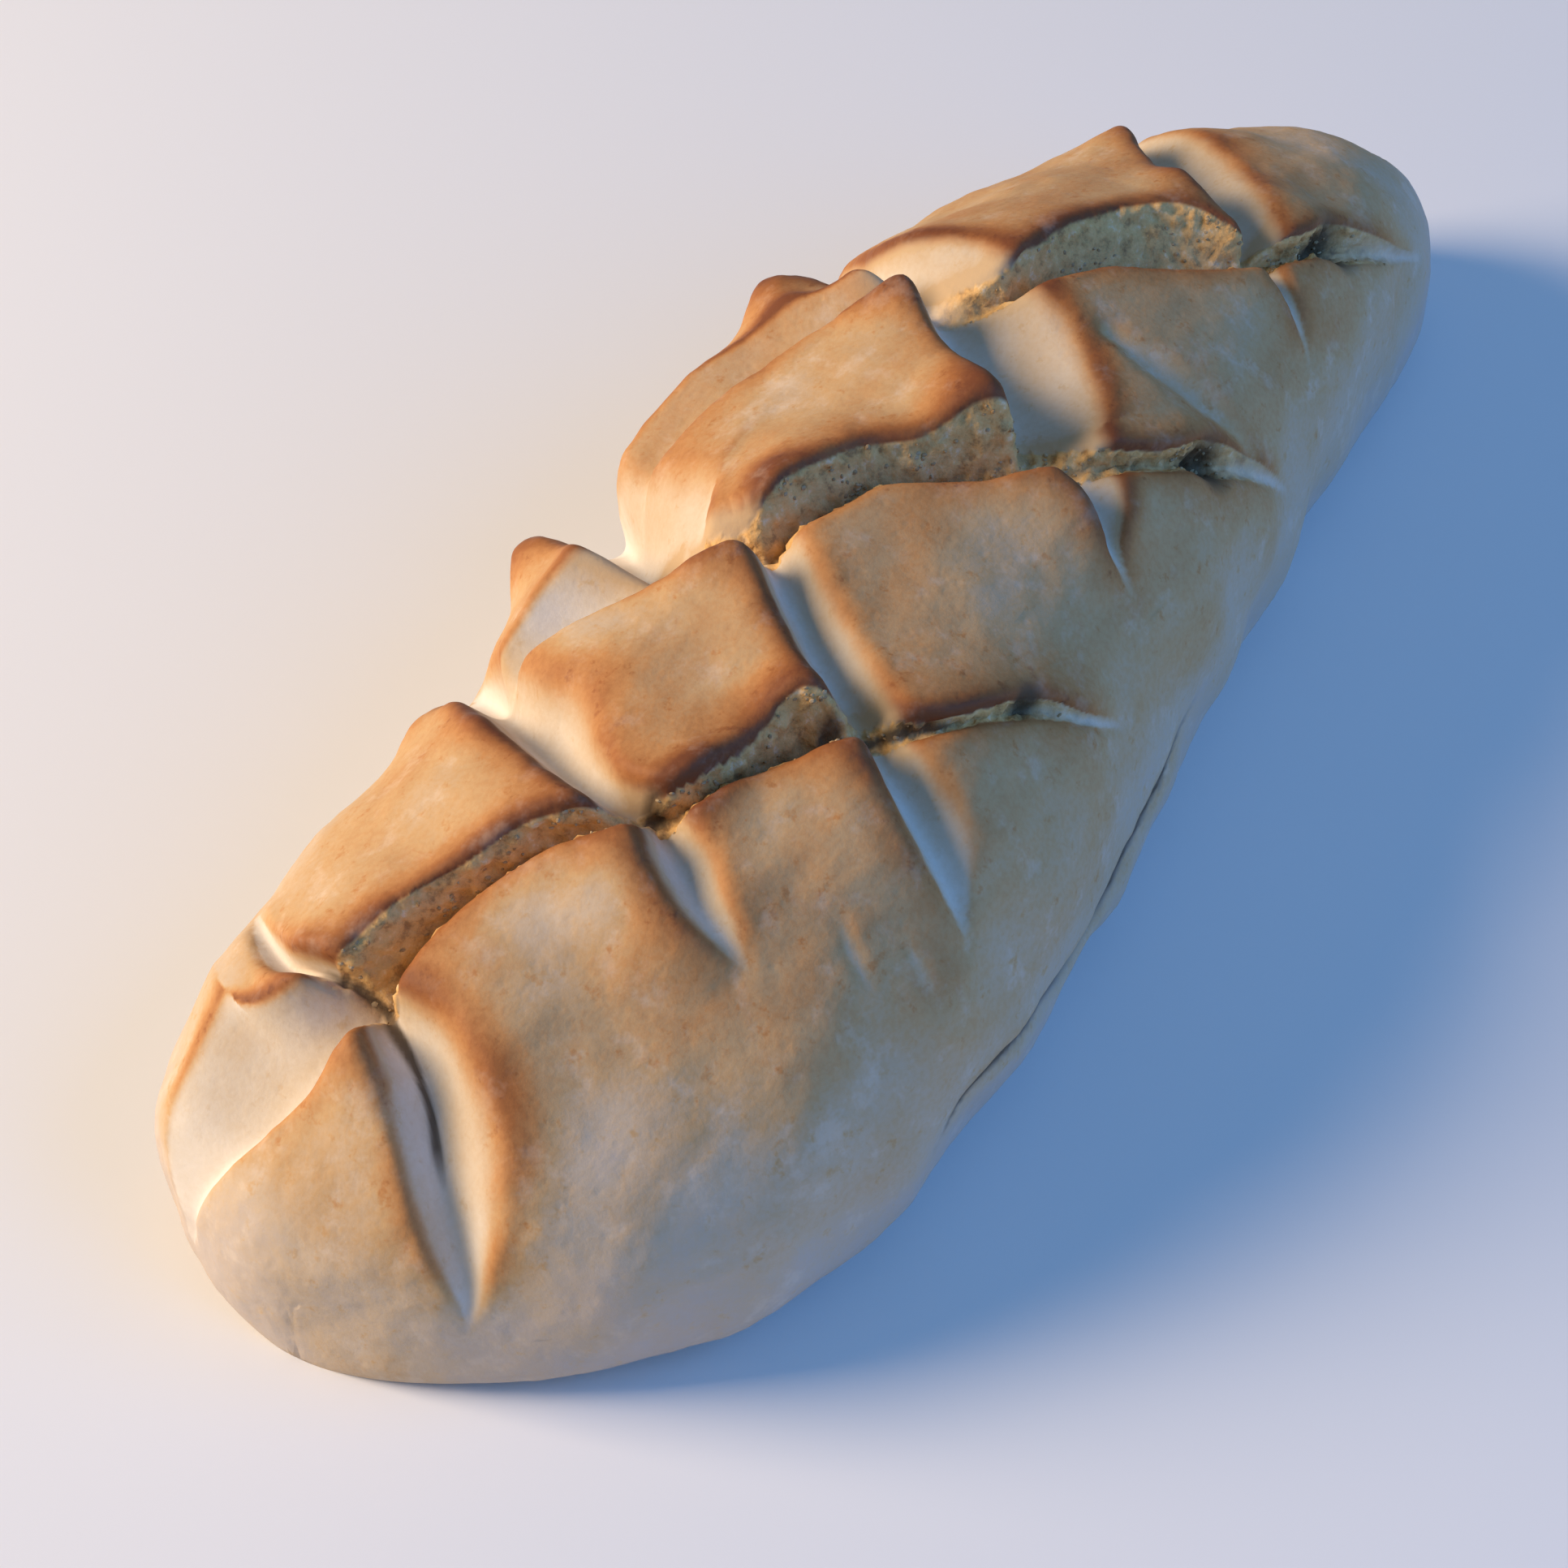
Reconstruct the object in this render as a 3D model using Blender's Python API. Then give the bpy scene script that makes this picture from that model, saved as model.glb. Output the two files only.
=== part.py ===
"""A long bread loaf, slashed crosswise before baking, as one solid.

The loaf lies along X with its near end at -X, stands on its flat heel at Z = 0, and is in metres.
Its skin is a ring of points for each step along the loaf. Eight slashes, a seam low on the right
side and a fold are curves on that skin: each one opens a groove and lifts the lips beside it.
Places on the skin are given as (along, around): millimetres from the middle of the loaf along X,
and millimetres round its girth from the crest, to the left (+Y) if positive.
"""

import math
from typing import NamedTuple

import bmesh
import bpy
import numpy as np

MM = 0.001

# The loaf before it was slashed
LENGTH = 350.5 * MM
SWAY = (3.7, -10.8, -1.0, 1.0, -8.8)  # of the middle line to the left, from the near end to the far end
HALF_WIDTH = (73.5, 61.2, 57.9, 52.1, 53.7)
HEIGHT = (57.7, 70.7, 76.6, 75.9, 67.1)
NEAR_BLUNTNESS = 4.1  # the exponents of the rounded ends
FAR_BLUNTNESS = 2.1
NEAR_SKEW = -12.9 * MM  # how far the left side of an end is ahead of its right side
FAR_SKEW = 2.6 * MM
TIP_HEIGHT_SHARE = 0.25
WAIST_SHARE = 0.32  # the height of the widest place
CROWN_EXPONENT = 2.3
UNDERSIDE_EXPONENT = 3.0
HEEL_DEPTH = 0.8 * MM  # what is cut off below to stand on

# The fineness of the skin and of the solid
STEPS_ALONG = 330
STEPS_AROUND = 300
SOFTENINGS = 3
VOXEL = 1.25 * MM
TRIANGLES = 11200
CHUNK = 20000  # how many points are measured against a slash at once

# How the relief runs out
TIP_TURN = 0.008  # the angle, in radians, that the first and last rings stand off the tips
NARROWEST = 0.2  # the least width and depth of a slash, in millimetres
FEWEST_SAMPLES = 12
ROUNDS_BETWEEN = (0.35, 0.75)  # the shares of its length between which the near lip changes its roundness
RUN_OUT = 6  # a slash reaches its full lips after this part of its length, from either end
RIM_END = 4  # the lifted rim ends this many reaches behind the lip
PEAK_SHARPNESS = 1.4
PIT_SHARPNESS = 1.2
SMOOTH_ABOVE = 12 * MM  # lumps fade out below this height
LEAST_LENGTH = 1e-12

CRUST_COLOUR = (0.62, 0.36, 0.16, 1.0)
CRUST_ROUGHNESS = 0.62


class Stop(NamedTuple):
    """A place on a slash: the widths go to its two lips, the near one towards -X and the far one towards +X."""

    along: float
    around: float
    near: float
    far: float
    deep: float


class Slash(NamedTuple):
    """A slash through its stops, with how far its lips rise, lean over the groove, are rounded and reach back."""

    stops: tuple
    near_lift: float = 1.5
    far_lift: float = 1.5
    near_lean: float = 0.5
    far_lean: float = 0.5
    near_round: tuple = (0.4, 0.4)  # in its first third and in its last quarter
    far_round: float = 1.0
    reach: float = 12.0
    wall: float = 1.3


class Peak(NamedTuple):
    """A corner of crust that stands up between two slashes, or a dent where high is negative."""

    along: float
    around: float
    high: float
    reach: float


class Pit(NamedTuple):
    """A small hole where slashes meet."""

    along: float
    around: float
    deep: float
    reach: float


CROSS_SLASHES = (
    Slash(
        (
            Stop(-129, 54, 1, 1, 1),
            Stop(-138, 36, 2.5, 3, 3),
            Stop(-138.5, 26, 2.5, 2.5, 4.5),
            Stop(-139.5, 17, 2.5, 4, 6),
            Stop(-143, 9, 3, 9, 6.5),
            Stop(-148, -1, 4.5, 13, 6.5),
            Stop(-155, -10, 5.5, 15, 6.5),
            Stop(-162, -19, 5, 12, 5),
            Stop(-166, -26, 3, 6, 2.5),
            Stop(-168, -32, 1, 1, 0.5),
        ),
        far_lift=2.0,
        near_round=(0.3, 0.8),
    ),
    Slash(
        (
            Stop(-70, 70, 2, 5, 3),
            Stop(-75, 60, 4, 8, 8),
            Stop(-86, 37, 4, 11, 6.5),
            Stop(-91, 26, 3, 14, 6.5),
            Stop(-95, 15, 3, 9, 6.5),
            Stop(-97, 6, 3, 6, 6.5),
            Stop(-97, -3, 4, 6, 5.5),
            Stop(-102, -12, 5.5, 7, 4.5),
            Stop(-106, -19, 5, 6, 3),
            Stop(-108, -25, 3.5, 4, 1.6),
            Stop(-110, -31, 1, 1, 0.5),
        ),
        near_lift=2.5,
        far_lift=2.0,
        near_round=(0.2, 1.0),
    ),
    Slash(
        (
            Stop(-14, 86, 3, 6, 3),
            Stop(-26, 72, 5, 14, 10),
            Stop(-34, 60, 6, 18, 13),
            Stop(-46, 40, 4, 24, 11),
            Stop(-50, 22, 3, 22, 8),
            Stop(-42, 10, 4, 9, 6.5),
            Stop(-50, 0, 3.5, 9, 5),
            Stop(-58, -11, 4, 9, 5),
            Stop(-63, -22, 4.5, 7, 5),
            Stop(-69, -34, 6, 7, 4),
            Stop(-73, -42, 6, 8, 3),
            Stop(-76, -48, 4, 5, 2),
            Stop(-80, -56, 1, 1, 0.5),
        ),
        near_lift=3.0,
        near_round=(0.3, 1.0),
        far_round=0.8,
    ),
    Slash(
        (
            Stop(52, 70, 3, 4, 2),
            Stop(43, 52, 6, 8, 8),
            Stop(37, 34, 5, 8, 7),
            Stop(31, 16, 5, 17, 7),
            Stop(21, 2, 6, 22, 7.5),
            Stop(12, -11, 5, 20, 7),
            Stop(5, -22, 3, 15, 6),
            Stop(3, -33, 2, 10, 4),
            Stop(-1, -42, 2, 3, 2),
            Stop(-3, -50, 1, 1, 0.5),
        ),
        near_lift=4.0,
        far_lift=2.0,
        near_lean=1.5,
        near_round=(0.1, 0.8),
        far_round=0.45,
    ),
    Slash(
        (
            Stop(124, 34, 2, 6, 4),
            Stop(117, 21, 3, 12, 7),
            Stop(109, 12, 4, 16, 7),
            Stop(101, 3, 4, 16, 6.5),
            Stop(95, -6, 4, 14, 6.5),
            Stop(90, -16, 3, 10, 6),
            Stop(85, -27, 3, 4, 5),
            Stop(82, -36, 2, 2, 2),
            Stop(78, -46, 1, 1, 0.5),
        ),
        near_lift=2.0,
        near_round=(0.2, 0.8),
        far_round=0.5,
    ),
)

LONG_SLASHES = (
    Slash(
        (
            Stop(-170, 33, 2, 4, 1),
            Stop(-168, 24, 3, 15, 4),
            Stop(-163, 18, 3, 22, 6),
            Stop(-155, 14, 3, 25, 6.5),
            Stop(-146, 14, 3, 13, 7),
            Stop(-137, 14, 3, 9.5, 8),
            Stop(-128, 14.5, 3, 7.5, 8),
            Stop(-119, 13, 2.5, 5, 8),
            Stop(-109, 9, 2.5, 4, 8),
            Stop(-101, 3, 4, 2.5, 8),
            Stop(-92, -5, 3, 2, 7),
            Stop(-84, -7.5, 3, 2, 7),
            Stop(-77, -12, 3, 5.5, 8),
            Stop(-71, -16, 3, 8, 8),
            Stop(-65, -22, 2.5, 3.5, 5.5),
            Stop(-57, -31, 1.8, 1.6, 4),
            Stop(-47, -38, 1.8, 1.6, 4),
            Stop(-38, -45, 2.5, 2.5, 4.5),
            Stop(-30, -55, 1.5, 1.5, 2),
            Stop(-22, -63, 1, 1, 0.5),
        ),
        near_lift=1.0,
        far_lift=4.0,
        far_lean=2.5,
        near_round=(0.7, 0.7),
        far_round=0.1,
    ),
    Slash(
        (
            Stop(-82, 54, 2, 4, 2),
            Stop(-73, 43, 3, 8, 5),
            Stop(-64, 35, 3, 14, 7),
            Stop(-56, 26, 3, 17, 7),
            Stop(-49, 18, 3, 10, 8),
            Stop(-41, 11, 3, 5, 9),
            Stop(-31, 6, 3, 6, 9),
            Stop(-18, 0, 3, 5.5, 9),
            Stop(-12, -7, 3, 6, 9),
            Stop(-5, -16, 3, 10, 9),
            Stop(2, -23, 2.5, 9, 7),
            Stop(11, -31, 2.5, 3, 4.5),
            Stop(22, -39, 2.5, 2.2, 4),
            Stop(34, -47, 3, 5, 6),
            Stop(45, -56, 2, 3, 2),
            Stop(57, -66, 1, 1, 0.5),
        ),
        near_lift=1.0,
        far_lift=5.0,
        far_lean=2.5,
        near_round=(0.7, 0.7),
        far_round=0.1,
    ),
    Slash(
        (
            Stop(-34, 58, 2, 5, 1),
            Stop(-20, 47, 3, 10, 2.5),
            Stop(-7, 43, 3, 13, 3),
            Stop(5, 37, 3, 14, 4),
            Stop(17, 30, 3, 12, 5),
            Stop(28, 18, 3, 7, 6),
            Stop(37, 5, 3, 3, 7),
            Stop(47, -1, 3, 6, 9),
            Stop(57, -5, 3, 9, 9),
            Stop(66, -12, 3, 14, 9),
            Stop(74, -19, 3, 14, 8),
            Stop(83, -25, 2.5, 5.5, 5),
            Stop(95, -28, 2.5, 3.5, 4.5),
            Stop(108, -30, 4, 6, 7),
            Stop(122, -34, 3, 3, 2),
            Stop(140, -36, 1, 1, 0.5),
        ),
        near_lift=1.0,
        far_lift=4.0,
        far_lean=2.5,
        near_round=(0.7, 0.7),
        far_round=0.1,
    ),
)

FOLDS = (
    Slash(
        (
            Stop(-100, -84, 0.5, 0.5, 0.3),
            Stop(-82, -82, 1.5, 1.5, 2.6),
            Stop(-50, -90, 1.8, 1.8, 3.4),
            Stop(-18, -87, 1.5, 1.5, 2.8),
            Stop(10, -82, 0.5, 0.5, 0.3),
        ),
        near_lift=0.3,
        far_lift=0.3,
        near_lean=0.0,
        far_lean=0.0,
        far_round=0.4,
        reach=5.0,
    ),
    Slash(
        (
            Stop(41, -18, 3, 3, 0.1),
            Stop(42, -31, 6, 6, 0.8),
            Stop(47, -52, 3, 3, 0.1),
        ),
        near_lift=0.2,
        far_lift=0.2,
        near_lean=0.0,
        far_lean=0.0,
        near_round=(1.0, 1.0),
        reach=6.0,
    ),
)

PEAKS = (
    Peak(-148, 8, 4.0, 13),
    Peak(-140, 28, 3.0, 10),
    Peak(-102, 0, 2.5, 12),
    Peak(-90, 36, 2.5, 11),
    Peak(-88, 58, 1.6, 7),
    Peak(-91, -7, 2.0, 10),
    Peak(-66, -11, 3.0, 10),
    Peak(-70, -23, 2.0, 11),
    Peak(-46, 14, 3.5, 13),
    Peak(-46, 61, 6.5, 12),
    Peak(-30, 12, 2.0, 10),
    Peak(28, 50, 6.0, 12),
    Peak(25, 18, 5.0, 14),
    Peak(5, -8, 4.0, 12),
    Peak(114, 23, 2.5, 12),
    Peak(92, -4, 3.0, 11),
    Peak(39, 46, -6.0, 9),
    Peak(32, 37, -7.0, 10),
    Peak(40, -90, -2.0, 16),
    Peak(77, -86, -2.5, 15),
    Peak(-86, -94, -3.0, 20),
    Peak(-86, -6, 2.0, 8),
)

PITS = (
    Pit(-95, -1, 1.5, 3),
    Pit(-67, -17, 1.5, 3),
    Pit(-38, -43, 2.0, 4),
    Pit(34, -47, 4.0, 7),
    Pit(107, -29, 4.0, 8),
)

LUMP_SEED = 7
LUMPS = ((50, 1.0), (24, 0.5))  # wavelength and height, in millimetres
WAVES_PER_LUMP = 9


def spline(rows, at):
    """The Catmull-Rom curve through rows, at places counted in rows."""
    rows = np.asarray(rows, float).reshape(len(rows), -1)
    ends = 2 * rows[[0, -1]] - rows[[1, -2]]
    padded = np.vstack([ends[:1], rows, ends[1:]])
    first = np.clip(np.floor(at).astype(int), 0, len(rows) - 2)
    t = (at - first)[:, None]
    a, b, c, d = (padded[first + k] for k in range(4))
    curved = 2 * b + (c - a) * t + (2 * a - 5 * b + 4 * c - d) * t**2 + (3 * b - 3 * c + d - a) * t**3
    return curved / 2


def profile(values, share):
    """A size that changes smoothly along the loaf, in metres, at each share of the length."""
    return spline(values, share * (len(values) - 1))[:, 0] * MM


def signed_power(values, exponent):
    return np.sign(values) * np.abs(values) ** exponent


def skin(steps_along, steps_around):
    """The unslashed loaf as rings of points, with the outward normals and the girth from the crest."""
    turn = math.pi / 2 - TIP_TURN
    sweep = np.sin(np.linspace(-turn, turn, steps_along))
    share = (sweep + 1) / 2
    bluntness = np.where(sweep < 0, NEAR_BLUNTNESS, FAR_BLUNTNESS)
    taper = np.sqrt(np.maximum(0, 1 - np.abs(sweep) ** bluntness))
    half_width = profile(HALF_WIDTH, share) * taper
    height = profile(HEIGHT, share) * (TIP_HEIGHT_SHARE + (1 - TIP_HEIGHT_SHARE) * taper)
    # The angle runs from the bottom over the right side, the crest and the left side to the bottom
    angle = np.linspace(-math.pi / 2, 1.5 * math.pi, steps_around, endpoint=False)
    across, up = -np.cos(angle), np.sin(angle)
    crown = up >= 0
    exponent = 2 / np.where(crown, CROWN_EXPONENT, UNDERSIDE_EXPONENT)
    side = signed_power(across, exponent)
    rise = np.abs(up) ** exponent
    level = np.where(crown, WAIST_SHARE + (1 - WAIST_SHARE) * rise, WAIST_SHARE * (1 - rise))
    points = np.empty((steps_along, steps_around, 3))
    skew = np.where(sweep < 0, NEAR_SKEW, FAR_SKEW) / 2 * sweep**4 * taper
    points[:, :, 0] = LENGTH / 2 * sweep[:, None] + skew[:, None] * side
    points[:, :, 1] = profile(SWAY, share)[:, None] + half_width[:, None] * side
    points[:, :, 2] = height[:, None] * level

    around_ring = np.roll(points, -1, axis=1) - np.roll(points, 1, axis=1)
    along_loaf = np.gradient(points, axis=0)
    normals = np.cross(along_loaf, around_ring)
    normals /= np.maximum(np.linalg.norm(normals, axis=2, keepdims=True), LEAST_LENGTH)
    outwards = np.sum(normals[:, steps_around // 2, 2]) > 0
    normals = normals if outwards else -normals
    normals[0], normals[-1] = (-1, 0, 0), (1, 0, 0)

    steps = np.linalg.norm(np.diff(points, axis=1), axis=2)
    girth = np.concatenate([np.zeros((steps_along, 1)), np.cumsum(steps, axis=1)], axis=1)
    girth -= girth[:, [steps_around // 2]]
    return points, normals, girth


def on_skin(skin_grid, along, around):
    """The points and normals of the skin at places given as along and around, in metres."""
    points, normals, girth = skin_grid
    row = np.interp(along, points[:, 0, 0], np.arange(len(points)))
    found = np.empty((len(along), 6))
    for k, (r, a) in enumerate(zip(row, around)):
        low = min(int(r), len(points) - 2)
        rings = []
        for i in (low, low + 1):
            both = np.hstack([points[i], normals[i]])
            rings.append([np.interp(a, girth[i], both[:, c]) for c in range(6)])
        found[k] = np.array(rings[0]) * (low + 1 - r) + np.array(rings[1]) * (r - low)
    normal = found[:, 3:] / np.linalg.norm(found[:, 3:], axis=1, keepdims=True)
    return found[:, :3], normal


class Line(NamedTuple):
    """A slash laid on the skin, sampled about every millimetre."""

    points: np.ndarray
    tangents: np.ndarray
    sideways: np.ndarray
    sizes: np.ndarray


def lay(slash, skin_grid):
    """The slash as a line on the skin. Sideways points to its far lip."""
    stops = np.array(slash.stops)
    spacing = np.hypot(*np.diff(stops[:, :2], axis=0).T).sum()
    rows = spline(stops, np.linspace(0, len(stops) - 1, max(FEWEST_SAMPLES, int(spacing))))
    points, normals = on_skin(skin_grid, rows[:, 0] * MM, rows[:, 1] * MM)
    tangents = np.gradient(points, axis=0)
    tangents /= np.linalg.norm(tangents, axis=1, keepdims=True)
    sideways = np.cross(normals, tangents)
    sideways /= np.linalg.norm(sideways, axis=1, keepdims=True)
    return Line(points, tangents, sideways, np.maximum(rows[:, 2:], NARROWEST) * MM)


def beside(line, points):
    """For each point, its place along the line in samples, its distance to the side and the way sideways."""
    nearest = np.empty(len(points), int)
    for start in range(0, len(points), CHUNK):
        chunk = points[start : start + CHUNK]
        gap = chunk[:, None, :] - line.points[None]
        nearest[start : start + CHUNK] = np.argmin(np.einsum("ijk,ijk->ij", gap, gap), axis=1)
    offset = points - line.points[nearest]
    spacing = np.linalg.norm(np.diff(line.points, axis=0), axis=1).mean()
    ahead = np.einsum("ij,ij->i", offset, line.tangents[nearest])
    place = np.clip(nearest + np.clip(ahead / spacing, -1, 1), 0, len(line.points) - 1)
    aside = np.einsum("ij,ij->i", offset, line.sideways[nearest])
    matched = np.clip(ahead, -spacing, spacing)
    away = np.sqrt(np.maximum(np.einsum("ij,ij->i", offset, offset) - matched**2, 0))
    return place, np.where(aside < 0, -away, away), line.sideways[nearest]


def open_slash(slash, skin_grid, points, relief):
    """Adds one slash to the relief of the points it can reach."""
    line = lay(slash, skin_grid)
    reach = slash.reach * MM
    margin = line.sizes[:, :2].max() + RIM_END * reach
    low, high = line.points.min(axis=0) - margin, line.points.max(axis=0) + margin
    inside = np.flatnonzero(np.all((points > low) & (points < high), axis=1))
    place, aside, sideways = beside(line, points[inside])
    near, far, deep = (np.interp(place, np.arange(len(line.sizes)), line.sizes[:, c]) for c in range(3))
    far_side = aside > 0
    width = np.where(far_side, far, near)
    share = place / (len(line.sizes) - 1)
    rounded = np.where(far_side, slash.far_round, np.interp(share, ROUNDS_BETWEEN, slash.near_round))
    inward = np.clip(1 - np.abs(aside) / width, 0, 1)
    sharp_groove = 1 - (1 - inward) ** slash.wall
    round_groove = inward**2 * (3 - 2 * inward)
    opened = sharp_groove * (1 - rounded) + round_groove * rounded
    beyond = np.maximum(np.abs(aside) - width, 0) / reach
    fade = np.clip(np.minimum(share, 1 - share) * RUN_OUT, 0, 1)
    sharp_rim = np.maximum(np.exp(-beyond) - math.exp(-RIM_END), 0) / (1 - math.exp(-RIM_END))
    round_rim = np.exp(-(beyond**2))
    rim = (sharp_rim * (1 - rounded) + round_rim * rounded) * fade
    relief.opened[inside] = np.maximum(relief.opened[inside], opened)
    relief.depth[inside] = np.maximum(relief.depth[inside], deep * opened)
    relief.lift[inside] += np.where(far_side, slash.far_lift, slash.near_lift) * MM * rim
    lean = np.where(far_side, -slash.far_lean, slash.near_lean) * MM * sharp_rim**2 * fade
    relief.lean[inside] += lean[:, None] * sideways


class Relief(NamedTuple):
    """What the slashes do to each point of the skin."""

    opened: np.ndarray
    depth: np.ndarray
    lift: np.ndarray
    lean: np.ndarray


def raise_peaks(skin_grid, points, relief):
    """Lifts the corners of crust as blunt cones, and presses the dents."""
    rows = np.array(PEAKS)
    places, _ = on_skin(skin_grid, rows[:, 0] * MM, rows[:, 1] * MM)
    for place, (_, _, high, reach) in zip(places, rows):
        away = np.linalg.norm(points - place, axis=1) / (reach * MM)
        relief.lift[:] += high * MM * np.clip(1 - away, 0, 1) ** PEAK_SHARPNESS


def press_pits(skin_grid, points, relief):
    """Deepens the small holes."""
    rows = np.array(PITS)
    places, _ = on_skin(skin_grid, rows[:, 0] * MM, rows[:, 1] * MM)
    for place, (_, _, deep, reach) in zip(places, rows):
        away = np.linalg.norm(points - place, axis=1) / (reach * MM)
        relief.depth[:] += deep * MM * np.clip(1 - away, 0, 1) ** PIT_SHARPNESS


def lumps(points):
    """Soft unevenness of hand-shaped dough, as a sum of seeded waves."""
    random = np.random.default_rng(LUMP_SEED)
    height = np.zeros(len(points))
    for wavelength, size in LUMPS:
        for _ in range(WAVES_PER_LUMP):
            way = random.normal(size=3)
            way *= 2 * math.pi / (wavelength * MM * np.linalg.norm(way))
            phase = random.uniform(0, 2 * math.pi)
            height += size * MM / math.sqrt(WAVES_PER_LUMP) * np.sin(points @ way + phase)
    return height


def softened(rings):
    """Rounds the edges of the crust by moving each point towards its neighbours."""
    for _ in range(SOFTENINGS):
        rings = rings / 2 + (np.roll(rings, 1, axis=1) + np.roll(rings, -1, axis=1)) / 4
        inner = rings[1:-1] / 2 + (rings[:-2] + rings[2:]) / 4
        rings = np.concatenate([rings[:1], inner, rings[-1:]])
    return rings


def shaped(steps_along, steps_around):
    """The loaf's points in rings, slashed and baked into shape."""
    skin_grid = skin(steps_along, steps_around)
    points, normals = (grid.reshape(-1, 3) for grid in skin_grid[:2])
    count = len(points)
    relief = Relief(np.zeros(count), np.zeros(count), np.zeros(count), np.zeros((count, 3)))
    for slash in (*CROSS_SLASHES, *LONG_SLASHES, *FOLDS):
        open_slash(slash, skin_grid, points, relief)
    raise_peaks(skin_grid, points, relief)
    press_pits(skin_grid, points, relief)
    closed = 1 - relief.opened
    above_heel = np.clip(points[:, 2] / SMOOTH_ABOVE, 0, 1)
    height = relief.lift * closed - relief.depth + lumps(points) * above_heel
    moved = points + normals * height[:, None] + relief.lean * (closed**2)[:, None]
    return softened(moved.reshape(steps_along, steps_around, 3))


def ring_mesh(rings):
    """A closed mesh over rings of points, with a fan at each end."""
    steps_along, steps_around = rings.shape[:2]
    index = np.arange(steps_along * steps_around).reshape(steps_along, steps_around)
    turned = np.roll(index, -1, axis=1)
    quads = np.stack([index[:-1], turned[:-1], turned[1:], index[1:]], axis=-1).reshape(-1, 4)
    tips = rings[[0, -1]].mean(axis=1)
    near_tip, far_tip = rings.shape[0] * rings.shape[1], rings.shape[0] * rings.shape[1] + 1
    faces = quads.tolist()
    faces += [(near_tip, int(b), int(a)) for a, b in zip(index[0], turned[0])]
    faces += [(far_tip, int(a), int(b)) for a, b in zip(index[-1], turned[-1])]
    mesh = bpy.data.meshes.new("loaf")
    mesh.from_pydata(np.vstack([rings.reshape(-1, 3), tips]).tolist(), [], faces)
    return mesh


def evaluated_mesh(loaf):
    """The object's mesh with its modifiers applied."""
    graph = bpy.context.evaluated_depsgraph_get()
    return bpy.data.meshes.new_from_object(loaf.evaluated_get(graph))


def remeshed(loaf):
    """Wraps the skin in even faces, then keeps as many triangles as the solid may have."""
    wrap = loaf.modifiers.new("wrap", "REMESH")
    wrap.mode = "VOXEL"
    wrap.voxel_size = VOXEL
    loaf.data = evaluated_mesh(loaf)
    loaf.modifiers.clear()
    quads = len(loaf.data.polygons)
    thin = loaf.modifiers.new("thin", "DECIMATE")
    thin.ratio = TRIANGLES / (2 * quads)
    thin.use_collapse_triangulate = True
    loaf.data = evaluated_mesh(loaf)
    loaf.modifiers.clear()


def stand(loaf):
    """Cuts the heel flat and puts the middle of the loaf's base at the origin."""
    cut = bmesh.new()
    cut.from_mesh(loaf.data)
    geometry = cut.verts[:] + cut.edges[:] + cut.faces[:]
    floor = min(v.co.z for v in cut.verts) + HEEL_DEPTH
    made = bmesh.ops.bisect_plane(cut, geom=geometry, plane_co=(0, 0, floor), plane_no=(0, 0, 1), clear_inner=True)
    rim = [piece for piece in made["geom_cut"] if isinstance(piece, bmesh.types.BMEdge)]
    bmesh.ops.edgeloop_fill(cut, edges=rim)
    bmesh.ops.recalc_face_normals(cut, faces=cut.faces)
    bmesh.ops.triangulate(cut, faces=cut.faces)
    corners = np.array([v.co for v in cut.verts])
    low, high = corners.min(axis=0), corners.max(axis=0)
    middle = (low + high) / 2
    bmesh.ops.translate(cut, verts=cut.verts, vec=(-middle[0], -middle[1], -low[2]))
    cut.to_mesh(loaf.data)
    cut.free()


def crust_material():
    material = bpy.data.materials.new("crust")
    material.use_nodes = True
    shader = material.node_tree.nodes["Principled BSDF"]
    shader.inputs["Base Color"].default_value = CRUST_COLOUR
    shader.inputs["Roughness"].default_value = CRUST_ROUGHNESS
    shader.inputs["Metallic"].default_value = 0.0
    return material


def clear_scene():
    for obj in list(bpy.data.objects):
        bpy.data.objects.remove(obj)


def main():
    clear_scene()
    loaf = bpy.data.objects.new("loaf", ring_mesh(shaped(STEPS_ALONG, STEPS_AROUND)))
    bpy.context.scene.collection.objects.link(loaf)
    remeshed(loaf)
    stand(loaf)
    loaf.data.materials.clear()
    loaf.data.materials.append(crust_material())
    return loaf


if __name__ == "__main__":
    main()
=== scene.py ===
"""A long bread loaf, baked golden and slashed crosswise, on a pale floor in soft light.

The loaf lies along X with its near end at -X and stands on its flat heel at Z = 0. Places on its skin
are given in millimetres as (along, around): along X from the middle, and round the girth from the
crest, to the left (+Y) if positive.
"""

import logging
import math
from collections.abc import Iterator
from dataclasses import dataclass, field, replace
from enum import Enum
from typing import ClassVar

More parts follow.
